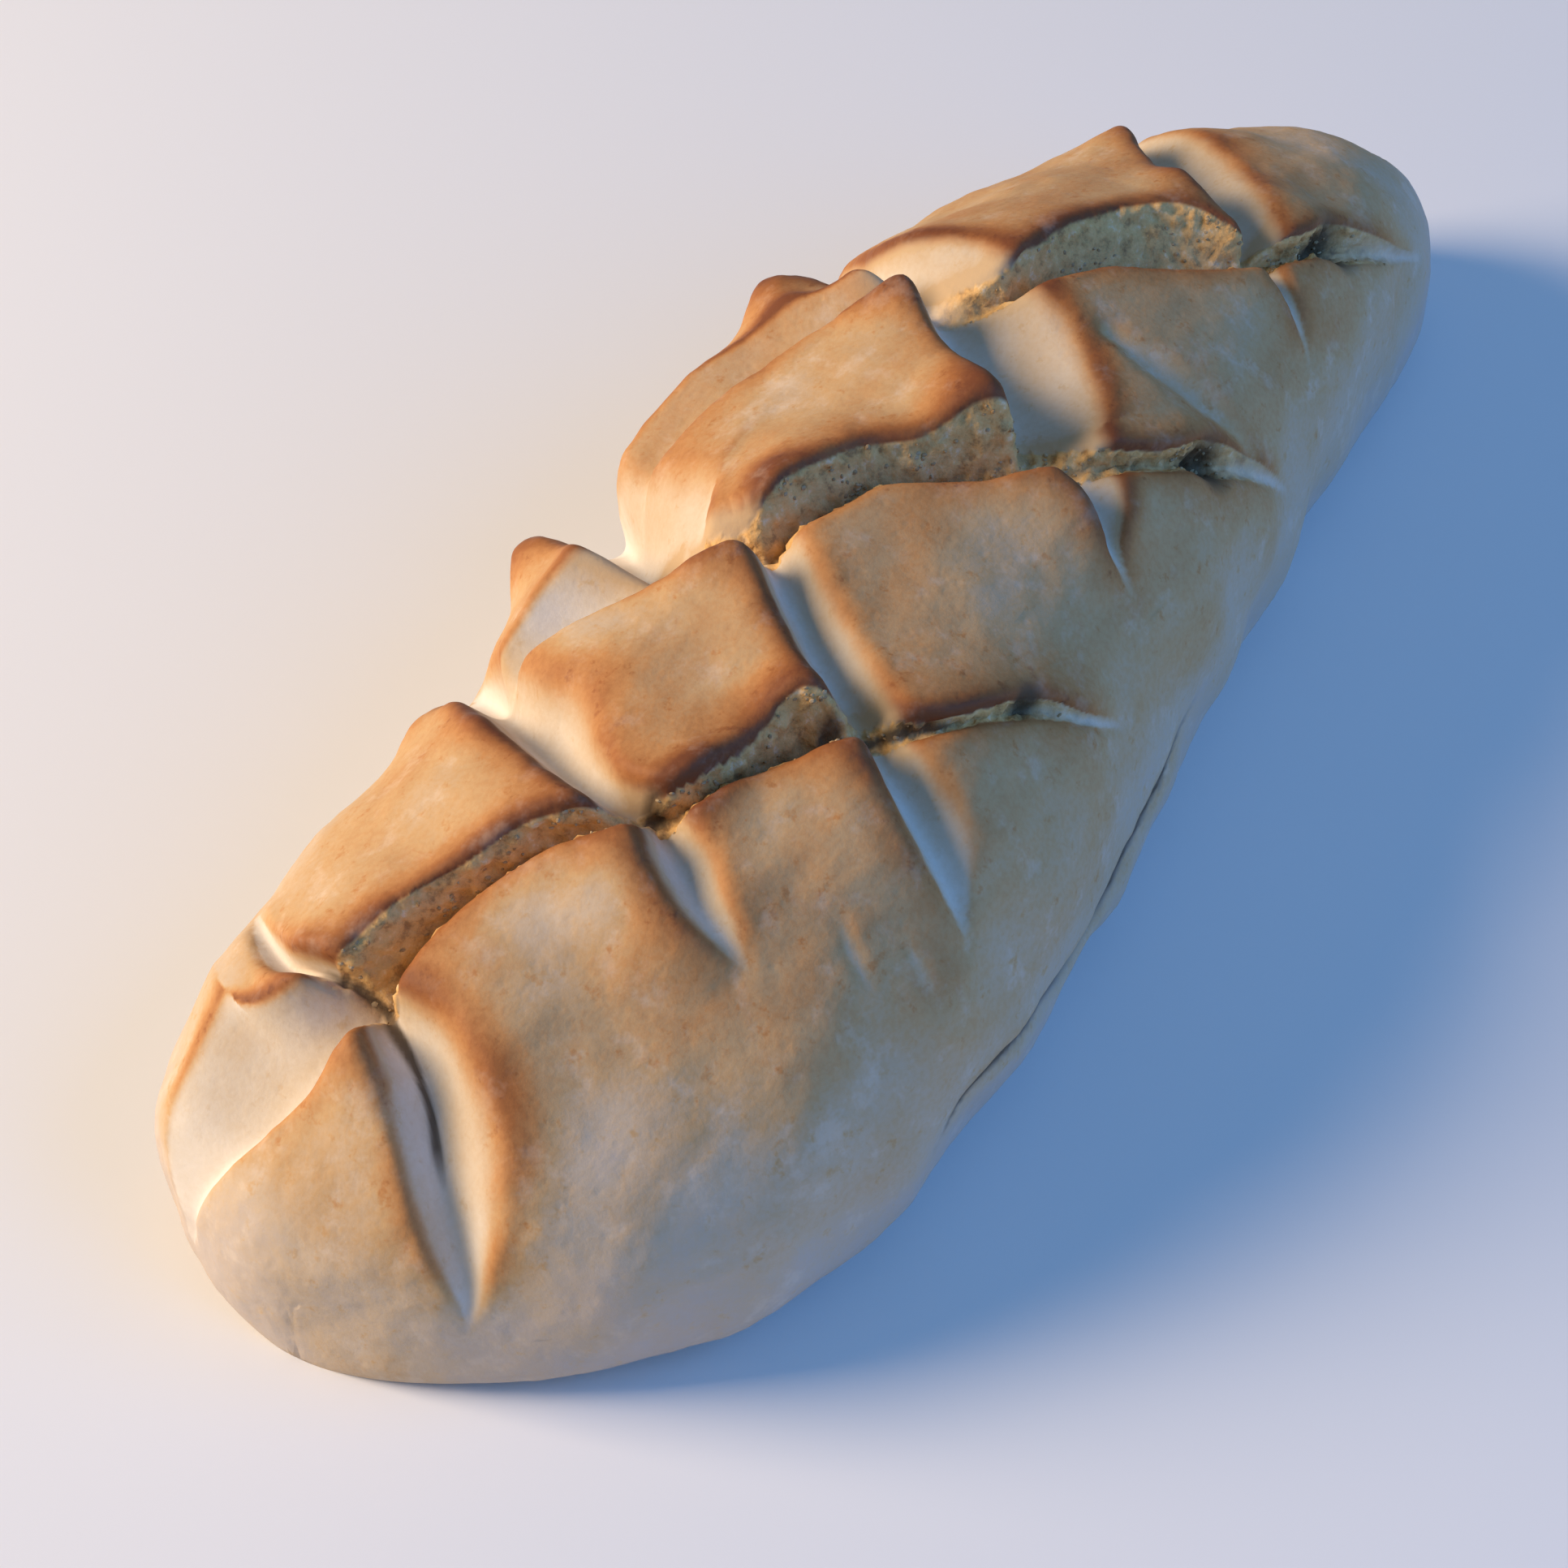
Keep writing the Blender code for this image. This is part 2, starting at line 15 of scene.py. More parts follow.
import bmesh
import bpy
import numpy as np
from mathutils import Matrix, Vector


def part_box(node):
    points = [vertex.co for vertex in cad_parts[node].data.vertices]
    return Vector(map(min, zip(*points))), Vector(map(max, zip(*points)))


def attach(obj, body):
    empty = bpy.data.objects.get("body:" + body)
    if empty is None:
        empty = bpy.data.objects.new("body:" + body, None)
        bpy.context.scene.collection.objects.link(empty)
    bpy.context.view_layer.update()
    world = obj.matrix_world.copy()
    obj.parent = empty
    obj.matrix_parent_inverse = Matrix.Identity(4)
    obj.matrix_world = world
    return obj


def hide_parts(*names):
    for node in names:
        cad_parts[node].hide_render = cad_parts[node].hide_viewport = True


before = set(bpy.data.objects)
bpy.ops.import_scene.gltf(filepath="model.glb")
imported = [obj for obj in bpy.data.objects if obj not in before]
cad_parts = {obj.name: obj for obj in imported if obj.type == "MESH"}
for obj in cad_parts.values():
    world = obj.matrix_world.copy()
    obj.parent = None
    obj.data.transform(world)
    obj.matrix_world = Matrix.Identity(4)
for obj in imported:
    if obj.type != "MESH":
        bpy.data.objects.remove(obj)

LOG = logging.getLogger("loaf")
MM = 0.001
Colour = tuple[float, float, float]
Colours = tuple[tuple[float, Colour], ...]
Span = tuple[float, float]


class Inside(Enum):
    """What a slash shows inside: smooth pale dough, a torn wall under a flap of crust, crust, or a crack
    painted dark as shade.
    """

    DOUGH = "dough"
    TORN = "torn"
    CRUST = "crust"
    CRACK = "crack"


class Mask(Enum):
    """The names of the values that the skin carries at each point for its finish."""

    BAKE = "bake"
    CRUMB = "crumb"
    TORN = "torn"
    # Painted shade: how dark deep torn hollows, cracks and pits are painted.
    HOLLOW = "hollow"


@dataclass(frozen=True)
class Stop:
    """A place on a slash: the widths go to its lips, the near one towards -X and the far one towards +X."""

    along: float
    around: float
    near: float
    far: float
    deep: float


@dataclass(frozen=True)
class Slash:
    """A slash through its stops, and how far its lips rise, lean over it, are rounded and are browned.

    The near lip's roundness goes from its first value to its second along the slash. The first crusted
    stops show little bare dough, and the first smooth stops aren't torn.
    """

    stops: tuple[Stop, ...]
    near_lift: float = 1.5
    far_lift: float = 1.5
    near_lean: float = 0.5
    far_lean: float = 0.5
    near_round: tuple[float, float] = (0.4, 0.4)
    far_round: float = 1.0
    near_brown: float = 0.3
    far_brown: float = 0.3
    inside: Inside = Inside.DOUGH
    crusted_stops: int = 0
    smooth_stops: int = 0
    reach: float = 12.0


@dataclass(frozen=True)
class Peak:
    """A corner of crust that stands up, or a dent where high is negative, and how far it is browned."""

    along: float
    around: float
    high: float
    reach: float
    brown: float = 0.0


@dataclass(frozen=True)
class Pit:
    """A small hole where slashes meet or the crumb has torn, sunk and painted dark as shade."""

    along: float
    around: float
    reach: float
    deep: float


@dataclass(frozen=True)
class Patch:
    """A patch of crust that is baked more than the rest, or less where bake is negative."""

    along: float
    around: float
    reach: float
    bake: float


# Kinds of slash, without their stops: a flap of crust over a torn wall, a thin crack in a groove's
# floor painted dark as shade, and a faint crease.
FLAP = Slash(
    stops=(),
    near_lift=1.0,
    far_lift=4.0,
    far_lean=2.5,
    near_round=(0.7, 0.7),
    far_round=0.1,
    near_brown=0.1,
    far_brown=0.38,
    inside=Inside.TORN,
)
THIN_CRACK = Slash(
    stops=(),
    near_lift=0.0,
    far_lift=0.0,
    near_lean=0.0,
    far_lean=0.0,
    near_brown=0.0,
    far_brown=0.0,
    inside=Inside.CRACK,
    reach=2.0,
)
FAINT_CREASE = Slash(
    stops=(),
    near_lift=0.2,
    far_lift=0.2,
    near_round=(1.0, 1.0),
    near_brown=0.0,
    far_brown=0.0,
    reach=4.0,
)

CROSS_SLASHES = (
    Slash(
        (
            Stop(-129, 54, 1, 1, 1),
            Stop(-138, 36, 2.5, 3, 3),
            Stop(-138.5, 26, 2.5, 2.5, 4.5),
            Stop(-139.5, 17, 2.5, 4, 6),
            Stop(-143, 9, 3, 9, 6.5),
            Stop(-148, -1, 4.5, 13, 6.5),
            Stop(-155, -10, 5.5, 15, 6.5),
            Stop(-162, -19, 5, 12, 5),
            Stop(-166, -26, 3, 6, 2.5),
            Stop(-168, -32, 1, 1, 0.5),
        ),
        near_lift=1.5,
        far_lift=2.0,
        near_round=(0.3, 0.8),
        near_brown=0.14,
        far_brown=0.3,
    ),
    Slash(
        (
            Stop(-70, 70, 2, 5, 3),
            Stop(-75, 60, 4, 8, 8),
            Stop(-86, 37, 4, 11, 6.5),
            Stop(-91, 26, 3, 14, 6.5),
            Stop(-95, 15, 3, 9, 6.5),
            Stop(-97, 6, 3, 6, 6.5),
            Stop(-97, -3, 4, 6, 5.5),
            Stop(-102, -12, 5.5, 7, 4.5),
            Stop(-106, -19, 5, 6, 3),
            Stop(-108, -25, 3.5, 4, 1.6),
            Stop(-110, -31, 1, 1, 0.5),
        ),
        near_lift=2.5,
        far_lift=2.0,
        near_round=(0.2, 1.0),
        near_brown=0.22,
        far_brown=0.12,
    ),
    Slash(
        (
            Stop(-14, 86, 3, 6, 3),
            Stop(-26, 72, 5, 14, 10),
            Stop(-34, 60, 6, 18, 13),
            Stop(-46, 40, 4, 24, 11),
            Stop(-50, 22, 3, 22, 8),
            Stop(-42, 10, 4, 9, 6.5),
            Stop(-50, 0, 3.5, 9, 5),
            Stop(-58, -11, 4, 9, 5),
            Stop(-63, -22, 4.5, 7, 5),
            Stop(-69, -34, 6, 7, 4),
            Stop(-73, -42, 6, 8, 3),
            Stop(-76, -48, 4, 5, 2),
            Stop(-80, -56, 1, 1, 0.5),
        ),
        near_lift=3.0,
        far_lift=1.5,
        far_round=0.8,
        near_round=(0.3, 1.0),
        near_brown=0.25,
        far_brown=0.05,
    ),
    Slash(
        (
            Stop(52, 70, 3, 4, 2),
            Stop(43, 52, 6, 8, 8),
            Stop(37, 34, 5, 8, 7),
            Stop(31, 16, 5, 17, 7),
            Stop(21, 2, 6, 22, 7.5),
            Stop(12, -11, 5, 20, 7),
            Stop(5, -22, 3, 15, 6),
            Stop(3, -33, 2, 10, 4),
            Stop(-1, -42, 2, 3, 2),
            Stop(-3, -50, 1, 1, 0.5),
        ),
        near_lift=4.0,
        far_lift=2.0,
        near_lean=1.5,
        far_round=0.45,
        near_round=(0.1, 0.8),
        near_brown=0.3,
        far_brown=0.4,
    ),
    Slash(
        (
            Stop(124, 34, 2, 6, 4),
            Stop(117, 21, 3, 12, 7),
            Stop(109, 12, 4, 16, 7),
            Stop(101, 3, 4, 16, 6.5),
            Stop(95, -6, 4, 14, 6.5),
            Stop(90, -16, 3, 10, 6),
            Stop(85, -27, 3, 4, 5),
            Stop(82, -36, 2, 2, 2),
            Stop(78, -46, 1, 1, 0.5),
        ),
        near_lift=2.0,
        far_lift=1.5,
        far_round=0.5,
        near_round=(0.2, 0.8),
        near_brown=0.22,
        far_brown=0.22,
    ),
)

LONG_SLASHES = (
    replace(
        FLAP,
        stops=(
            Stop(-170, 33, 2, 4, 1),
            Stop(-168, 24, 3, 15, 4),
            Stop(-163, 18, 3, 22, 6),
            Stop(-155, 14, 3, 25, 6.5),
            Stop(-146, 14, 3, 13, 7),
            Stop(-137, 14, 3, 9.5, 8),
            Stop(-128, 14.5, 3, 7.5, 8),
            Stop(-119, 13, 2.5, 5, 8),
            Stop(-109, 9, 2.5, 4, 8),
            Stop(-101, 3, 4, 2.5, 8),
            Stop(-92, -5, 3, 2, 7),
            Stop(-84, -7.5, 3, 2, 7),
            Stop(-77, -12, 3, 5.5, 8),
            Stop(-71, -16, 3, 8, 8),
            Stop(-65, -22, 2.5, 3.5, 5.5),
            Stop(-57, -31, 1.8, 1.6, 4),
            Stop(-47, -38, 1.8, 1.6, 4),
            Stop(-38, -45, 2.5, 2.5, 4.5),
            Stop(-30, -55, 1.5, 1.5, 2),
            Stop(-22, -63, 1, 1, 0.5),
        ),
        near_brown=0.12,
        smooth_stops=5,
    ),
    replace(
        FLAP,
        stops=(
            Stop(-82, 54, 2, 4, 2),
            Stop(-73, 43, 3, 8, 5),
            Stop(-64, 35, 3, 14, 7),
            Stop(-56, 26, 3, 17, 7),
            Stop(-49, 18, 3, 10, 8),
            Stop(-41, 11, 3, 5, 9),
            Stop(-31, 6, 3, 6, 9),
            Stop(-18, 0, 3, 5.5, 9),
            Stop(-12, -7, 3, 6, 9),
            Stop(-5, -16, 3, 10, 9),
            Stop(2, -23, 2.5, 9, 7),
            Stop(11, -31, 2.5, 3, 4.5),
            Stop(22, -39, 2.5, 2.2, 4),
            Stop(34, -47, 3, 5, 6),
            Stop(45, -56, 2, 3, 2),
            Stop(57, -66, 1, 1, 0.5),
        ),
        far_lift=5.0,
        smooth_stops=4,
    ),
    replace(
        FLAP,
        stops=(
            Stop(-34, 58, 2, 5, 1),
            Stop(-20, 47, 3, 10, 2.5),
            Stop(-7, 43, 3, 13, 3),
            Stop(5, 37, 3, 14, 4),
            Stop(17, 30, 3, 12, 5),
            Stop(28, 18, 3, 7, 6),
            Stop(37, 5, 3, 3, 7),
            Stop(47, -1, 3, 6, 9),
            Stop(57, -5, 3, 9, 9),
            Stop(66, -12, 3, 14, 9),
            Stop(74, -19, 3, 14, 8),
            Stop(83, -25, 2.5, 5.5, 5),
            Stop(95, -28, 2.5, 3.5, 4.5),
            Stop(108, -30, 4, 6, 7),
            Stop(122, -34, 3, 3, 2),
            Stop(140, -36, 1, 1, 0.5),
        ),
        far_brown=0.4,
        crusted_stops=5,
        smooth_stops=6,
    ),
)

FOLDS = (
    # A long fold low on the -Y flank, its floor painted dark as shade.
    Slash(
        (
            Stop(-100, -84, 0.5, 0.5, 0.3),
            Stop(-82, -82, 1.5, 1.5, 2.6),
            Stop(-50, -90, 1.8, 1.8, 3.4),
            Stop(-18, -87, 1.5, 1.5, 2.8),
            Stop(10, -82, 0.5, 0.5, 0.3),
        ),
        near_lift=0.3,
        far_lift=0.3,
        near_lean=0.0,
        far_lean=0.0,
        far_round=0.4,
        near_brown=0.1,
        far_brown=0.1,
        inside=Inside.CRACK,
        reach=5.0,
    ),
    replace(
        THIN_CRACK,
        stops=(
            Stop(-138, 31, 0.5, 0.5, 0.4),
            Stop(-138.5, 25, 0.9, 0.9, 1.2),
            Stop(-139.5, 17, 1.4, 1.4, 2.4),
            Stop(-143, 9, 1.5, 1.5, 2.6),
            Stop(-147, 1, 0.9, 0.9, 1.2),
            Stop(-151, -5, 0.9, 0.9, 1.2),
            Stop(-156, -11, 1.2, 1.2, 2),
            Stop(-160, -16, 0.5, 0.5, 0.4),
        ),
    ),
    replace(
        THIN_CRACK,
        stops=(
            Stop(-141, 14, 0.6, 0.6, 0.5),
            Stop(-136, 14.5, 1.6, 1.6, 3),
            Stop(-129, 15, 1.4, 1.4, 2.4),
            Stop(-121, 13.5, 0.6, 0.6, 0.5),
        ),
    ),
    replace(
        THIN_CRACK,
        stops=(
            Stop(-70, -14, 0.6, 0.6, 0.5),
            Stop(-65, -21, 1.2, 1.2, 2),
            Stop(-58, -29, 1.3, 1.3, 2.4),
            Stop(-51, -36, 0.6, 0.6, 0.5),
        ),
    ),
    replace(
        FAINT_CREASE,
        stops=(Stop(-94, -36, 1, 1, 0.2), Stop(-97, -42, 2, 2, 0.8), Stop(-99, -48, 1, 1, 0.2)),
    ),
    replace(
        FAINT_CREASE,
        stops=(Stop(-89, -47, 1, 1, 0.2), Stop(-90, -52, 2, 2, 0.7), Stop(-91, -57, 1, 1, 0.2)),
    ),
    Slash(
        (Stop(41, -18, 3, 3, 0.1), Stop(42, -31, 6, 6, 0.5), Stop(47, -52, 3, 3, 0.1)),
        near_lift=0.2,
        far_lift=0.2,
        near_lean=0.0,
        far_lean=0.0,
        near_brown=-0.05,
        far_brown=-0.05,
        near_round=(1.0, 1.0),
        inside=Inside.CRUST,
        reach=6.0,
    ),
)

PEAKS = (
    Peak(-148, 8, 4.0, 13, 0.12),
    Peak(-140, 28, 3.0, 10, 0.1),
    Peak(-102, 0, 2.5, 12, 0.2),
    Peak(-90, 36, 2.5, 11, 0.2),
    Peak(-88, 58, 1.6, 7, 0.1),
    Peak(-91, -7, 2.0, 10, 0.3),
    Peak(-66, -11, 3.0, 10, 0.3),
    Peak(-70, -23, 2.0, 11, 0.2),
    Peak(-46, 14, 3.5, 13, 0.3),
    Peak(-46, 61, 6.5, 12, 0.3),
    Peak(-30, 12, 2.0, 10, 0.2),
    Peak(28, 50, 6.0, 12, 0.3),
    Peak(25, 18, 5.0, 14, 0.4),
    Peak(5, -8, 4.0, 12, 0.55),
    Peak(114, 23, 2.5, 12, 0.2),
    Peak(92, -4, 3.0, 11, 0.2),
    Peak(39, 46, -6.0, 9),
    Peak(32, 37, -7.0, 10),
    Peak(40, -90, -2.0, 16),
    Peak(77, -86, -2.5, 15),
    Peak(-86, -94, -3.0, 20),
    Peak(-86, -6, 2.0, 8, 0.3),
)

PITS = (
    Pit(-95, -1, 3.0, 1.5),
    Pit(-67, -17, 3.0, 1.5),
    Pit(-38, -43, 4.0, 2.0),
    Pit(34, -47, 7.0, 4.0),
    Pit(107, -29, 8.0, 4.0),
)

PATCHES = (
    Patch(-80, -4, 11, 0.20),
    Patch(-89, -4, 7, 0.30),
    Patch(-71, -6, 8, 0.20),
    Patch(-155, 26, 16, 0.14),
    Patch(-66, 38, 15, -0.35),
    Patch(5, -6, 9, 0.22),
    Patch(-27, 12, 9, 0.28),
    Patch(-12, 4, 9, 0.20),
    Patch(-130, 22, 7, 0.15),
    Patch(-6, 25, 12, -0.08),
    Patch(-52, -14, 9, -0.1),
    Patch(-106, 34, 12, -0.08),
    Patch(-23, -26, 14, -0.10),
    Patch(-6, -12, 12, 0.06),
    Patch(-121, 1, 8, -0.14),
    Patch(-114, -5, 9, -0.12),
    Patch(-142, -30, 9, -0.12),
    Patch(-110, 25, 12, -0.06),
    Patch(-163, 6, 13, 0.16),
    Patch(-165, -8, 12, 0.10),
    Patch(-140, -34, 10, -0.06),
    Patch(-174, -12, 22, 0.12),
    Patch(-172, -36, 20, 0.10),
)


@dataclass
class DoughSizes:
    """The loaf before it was slashed; sways, widths and heights run from the near end to the far end."""

    length: float = 350.5 * MM
    sway: tuple[float, ...] = (3.7, -10.8, -1.0, 1.0, -8.8)
    half_width: tuple[float, ...] = (73.5, 61.2, 57.9, 52.1, 53.7)
    height: tuple[float, ...] = (57.7, 70.7, 76.6, 75.9, 67.1)
    near_bluntness: float = 4.1
    far_bluntness: float = 2.1
    near_skew: float = -12.9 * MM
    far_skew: float = 2.6 * MM
    tip_height_share: float = 0.25
    waist_share: float = 0.32
    crown_exponent: float = 2.3
    underside_exponent: float = 3.0
    heel_depth: float = 0.8 * MM
    tip_turn: float = 0.008
    lump_seed: int = 7
    lumps: tuple[tuple[float, float], ...] = ((50, 1.0), (24, 0.5))
    waves_per_lump: int = 9


def spline(rows: np.ndarray, at: np.ndarray) -> np.ndarray:
    """The Catmull-Rom curve through rows.

    Args:
        rows: The values to pass through, one row each.
        at: Places on the curve, counted in rows.

    Returns:
        One row for each place.
    """
    rows = np.asarray(rows, float).reshape(len(rows), -1)
    ends = 2 * rows[[0, -1]] - rows[[1, -2]]
    padded = np.vstack([ends[:1], rows, ends[1:]])
    first = np.clip(np.floor(at).astype(int), 0, len(rows) - 2)
    t = (at - first)[:, None]
    a, b, c, d = (padded[first + k] for k in range(4))
    curved = 2 * b + (c - a) * t + (2 * a - 5 * b + 4 * c - d) * t**2 + (3 * b - 3 * c + d - a) * t**3
    return curved / 2


def profile(values: tuple[float, ...], share: np.ndarray) -> np.ndarray:
    """A size in metres that changes smoothly along the loaf.

    Args:
        values: The size in millimetres at even steps from the near end to the far end.
        share: Places as shares of the length.

    Returns:
        The size at each place, in metres.
    """
    return spline(values, share * (len(values) - 1))[:, 0] * MM


def signed_power(values: np.ndarray, exponent: np.ndarray) -> np.ndarray:
    """The power of the size of each value, with the value's sign."""
    return np.sign(values) * np.abs(values) ** exponent


@dataclass
class Skin:
    """The unslashed loaf as rings of points, their outward normals and their girth from the crest."""

    points: np.ndarray
    normals: np.ndarray
    girth: np.ndarray

    @classmethod
    def of(cls, sizes: DoughSizes, steps_along: int, steps_around: int) -> "Skin":
        """Builds the rings.

        Args:
            sizes: The loaf's sizes.
            steps_along: How many rings.
            steps_around: How many points in each ring.

        Returns:
            The skin.
        """
        turn = math.pi / 2 - sizes.tip_turn
        sweep = np.sin(np.linspace(-turn, turn, steps_along))
        share = (sweep + 1) / 2
        near = sweep < 0
        bluntness = np.where(near, sizes.near_bluntness, sizes.far_bluntness)
        taper = np.sqrt(np.maximum(0, 1 - np.abs(sweep) ** bluntness))
        half_width = profile(sizes.half_width, share) * taper
        tip = sizes.tip_height_share
        height = profile(sizes.height, share) * (tip + (1 - tip) * taper)
        angle = np.linspace(-math.pi / 2, 1.5 * math.pi, steps_around, endpoint=False)
        across, up = -np.cos(angle), np.sin(angle)
        crown = up >= 0
        exponent = 2 / np.where(crown, sizes.crown_exponent, sizes.underside_exponent)
        side = signed_power(across, exponent)
        rise = np.abs(up) ** exponent
        waist = sizes.waist_share
        level = np.where(crown, waist + (1 - waist) * rise, waist * (1 - rise))
        skew = np.where(near, sizes.near_skew, sizes.far_skew) / 2 * sweep**4 * taper
        points = np.empty((steps_along, steps_around, 3))
        points[:, :, 0] = sizes.length / 2 * sweep[:, None] + skew[:, None] * side
        points[:, :, 1] = profile(sizes.sway, share)[:, None] + half_width[:, None] * side
        points[:, :, 2] = height[:, None] * level
        around_ring = np.roll(points, -1, axis=1) - np.roll(points, 1, axis=1)
        normals = np.cross(np.gradient(points, axis=0), around_ring)
        normals /= np.maximum(np.linalg.norm(normals, axis=2, keepdims=True), 1e-12)
        if np.sum(normals[:, steps_around // 2, 2]) < 0:
            normals = -normals
        normals[0], normals[-1] = (-1, 0, 0), (1, 0, 0)
        steps = np.linalg.norm(np.diff(points, axis=1), axis=2)
        girth = np.concatenate([np.zeros((steps_along, 1)), np.cumsum(steps, axis=1)], axis=1)
        return cls(points, normals, girth - girth[:, [steps_around // 2]])

    def at(self, along: np.ndarray, around: np.ndarray) -> tuple[np.ndarray, np.ndarray]:
        """Finds places on the skin.

        Args:
            along: Distances along the loaf, in metres.
            around: Distances round the girth from the crest, in metres.

        Returns:
            The points and their unit normals.
        """
        rows = np.interp(along, self.points[:, 0, 0], np.arange(len(self.points)))
        found = np.empty((len(along), 6))
        for k, (row, a) in enumerate(zip(rows, around)):
            low = min(int(row), len(self.points) - 2)
            rings = []
            for i in (low, low + 1):
                both = np.hstack([self.points[i], self.normals[i]])
                rings.append([np.interp(a, self.girth[i], both[:, c]) for c in range(6)])
            found[k] = np.array(rings[0]) * (low + 1 - row) + np.array(rings[1]) * (row - low)
        normal = found[:, 3:] / np.linalg.norm(found[:, 3:], axis=1, keepdims=True)
        return found[:, :3], normal


@dataclass
class Line:
    """A slash laid on the skin in steps of about a millimetre. Sideways points to its far lip."""

    points: np.ndarray
    tangents: np.ndarray
    sideways: np.ndarray
    sizes: np.ndarray

    FEWEST_STEPS: ClassVar[int] = 12
    LEAST_SIZE: ClassVar[float] = 0.2
    POINTS_AT_ONCE: ClassVar[int] = 50000

    @classmethod
    def laid(cls, slash: Slash, skin: Skin) -> "Line":
        """Lays a slash on the skin.

        Args:
            slash: The slash.
            skin: The unslashed skin.

        Returns:
            The line that its bottom follows.
        """
        stops = np.array([[s.along, s.around, s.near, s.far, s.deep] for s in slash.stops])
        length = np.hypot(*np.diff(stops[:, :2], axis=0).T).sum()
        steps = max(cls.FEWEST_STEPS, int(length))
        rows = spline(stops, np.linspace(0, len(stops) - 1, steps))
        points, normals = skin.at(rows[:, 0] * MM, rows[:, 1] * MM)
        tangents = np.gradient(points, axis=0)
        tangents /= np.linalg.norm(tangents, axis=1, keepdims=True)
        sideways = np.cross(normals, tangents)
        sideways /= np.linalg.norm(sideways, axis=1, keepdims=True)
        return cls(points, tangents, sideways, np.maximum(rows[:, 2:], cls.LEAST_SIZE) * MM)

    def beside(self, points: np.ndarray) -> tuple[np.ndarray, np.ndarray, np.ndarray]:
        """Measures points against the line.

        Args:
            points: The points.

        Returns:
            Each point's place in samples, its distance to the far side, and the way sideways there.
        """
        nearest = np.empty(len(points), int)
        line = self.points.astype(np.float32)
        squares = np.einsum("ij,ij->i", line, line)
        for start in range(0, len(points), self.POINTS_AT_ONCE):
            part = slice(start, start + self.POINTS_AT_ONCE)
            nearest[part] = np.argmin(squares[None] - 2 * points[part].astype(np.float32) @ line.T, axis=1)
        offset = points - self.points[nearest]
        spacing = np.linalg.norm(np.diff(self.points, axis=0), axis=1).mean()
        ahead = np.einsum("ij,ij->i", offset, self.tangents[nearest])
        place = np.clip(nearest + np.clip(ahead / spacing, -1, 1), 0, len(self.points) - 1)
        aside = np.einsum("ij,ij->i", offset, self.sideways[nearest])
        matched = np.clip(ahead, -spacing, spacing)
        away = np.sqrt(np.maximum(np.einsum("ij,ij->i", offset, offset) - matched**2, 0))
        return place, np.where(aside < 0, -away, away), self.sideways[nearest]


@dataclass(frozen=True)
class CutStyle:
    """What all slashes share: how their walls and lips run, and where dough, torn dough and browning end.

    Of the pairs for dough and browning, the first is for a sharp lip and roundness adds the second.
    """

    wall_steepness: float = 1.3
    near_rounds_between: tuple[float, float] = (0.35, 0.75)
    end_fade: float = 6.0
    rim_reaches: float = 4.0
    dough_edge: tuple[float, float] = (5.0, -3.4)
    dough_depth: float = 2 * MM
    crusted_dough: float = 0.25
    torn_edge: float = 9.0
    crack_edge: float = 1.5
    browned_outside: tuple[float, float] = (2.8, 1.4)
    browned_inside: tuple[float, float] = (0.8, 3.0)


@dataclass(frozen=True)
class MarkStyle:
    """How the lift, depth and browning of peaks, pits and patches, and the painted shade in pits, fall off
    from their middles.
    """

    peak_fall: float = 1.4
    peak_brown_fall: float = 1.5
    pit_fall: float = 1.2
    pit_painted_shade: float = 2.2
    patch_bake: float = 1.5


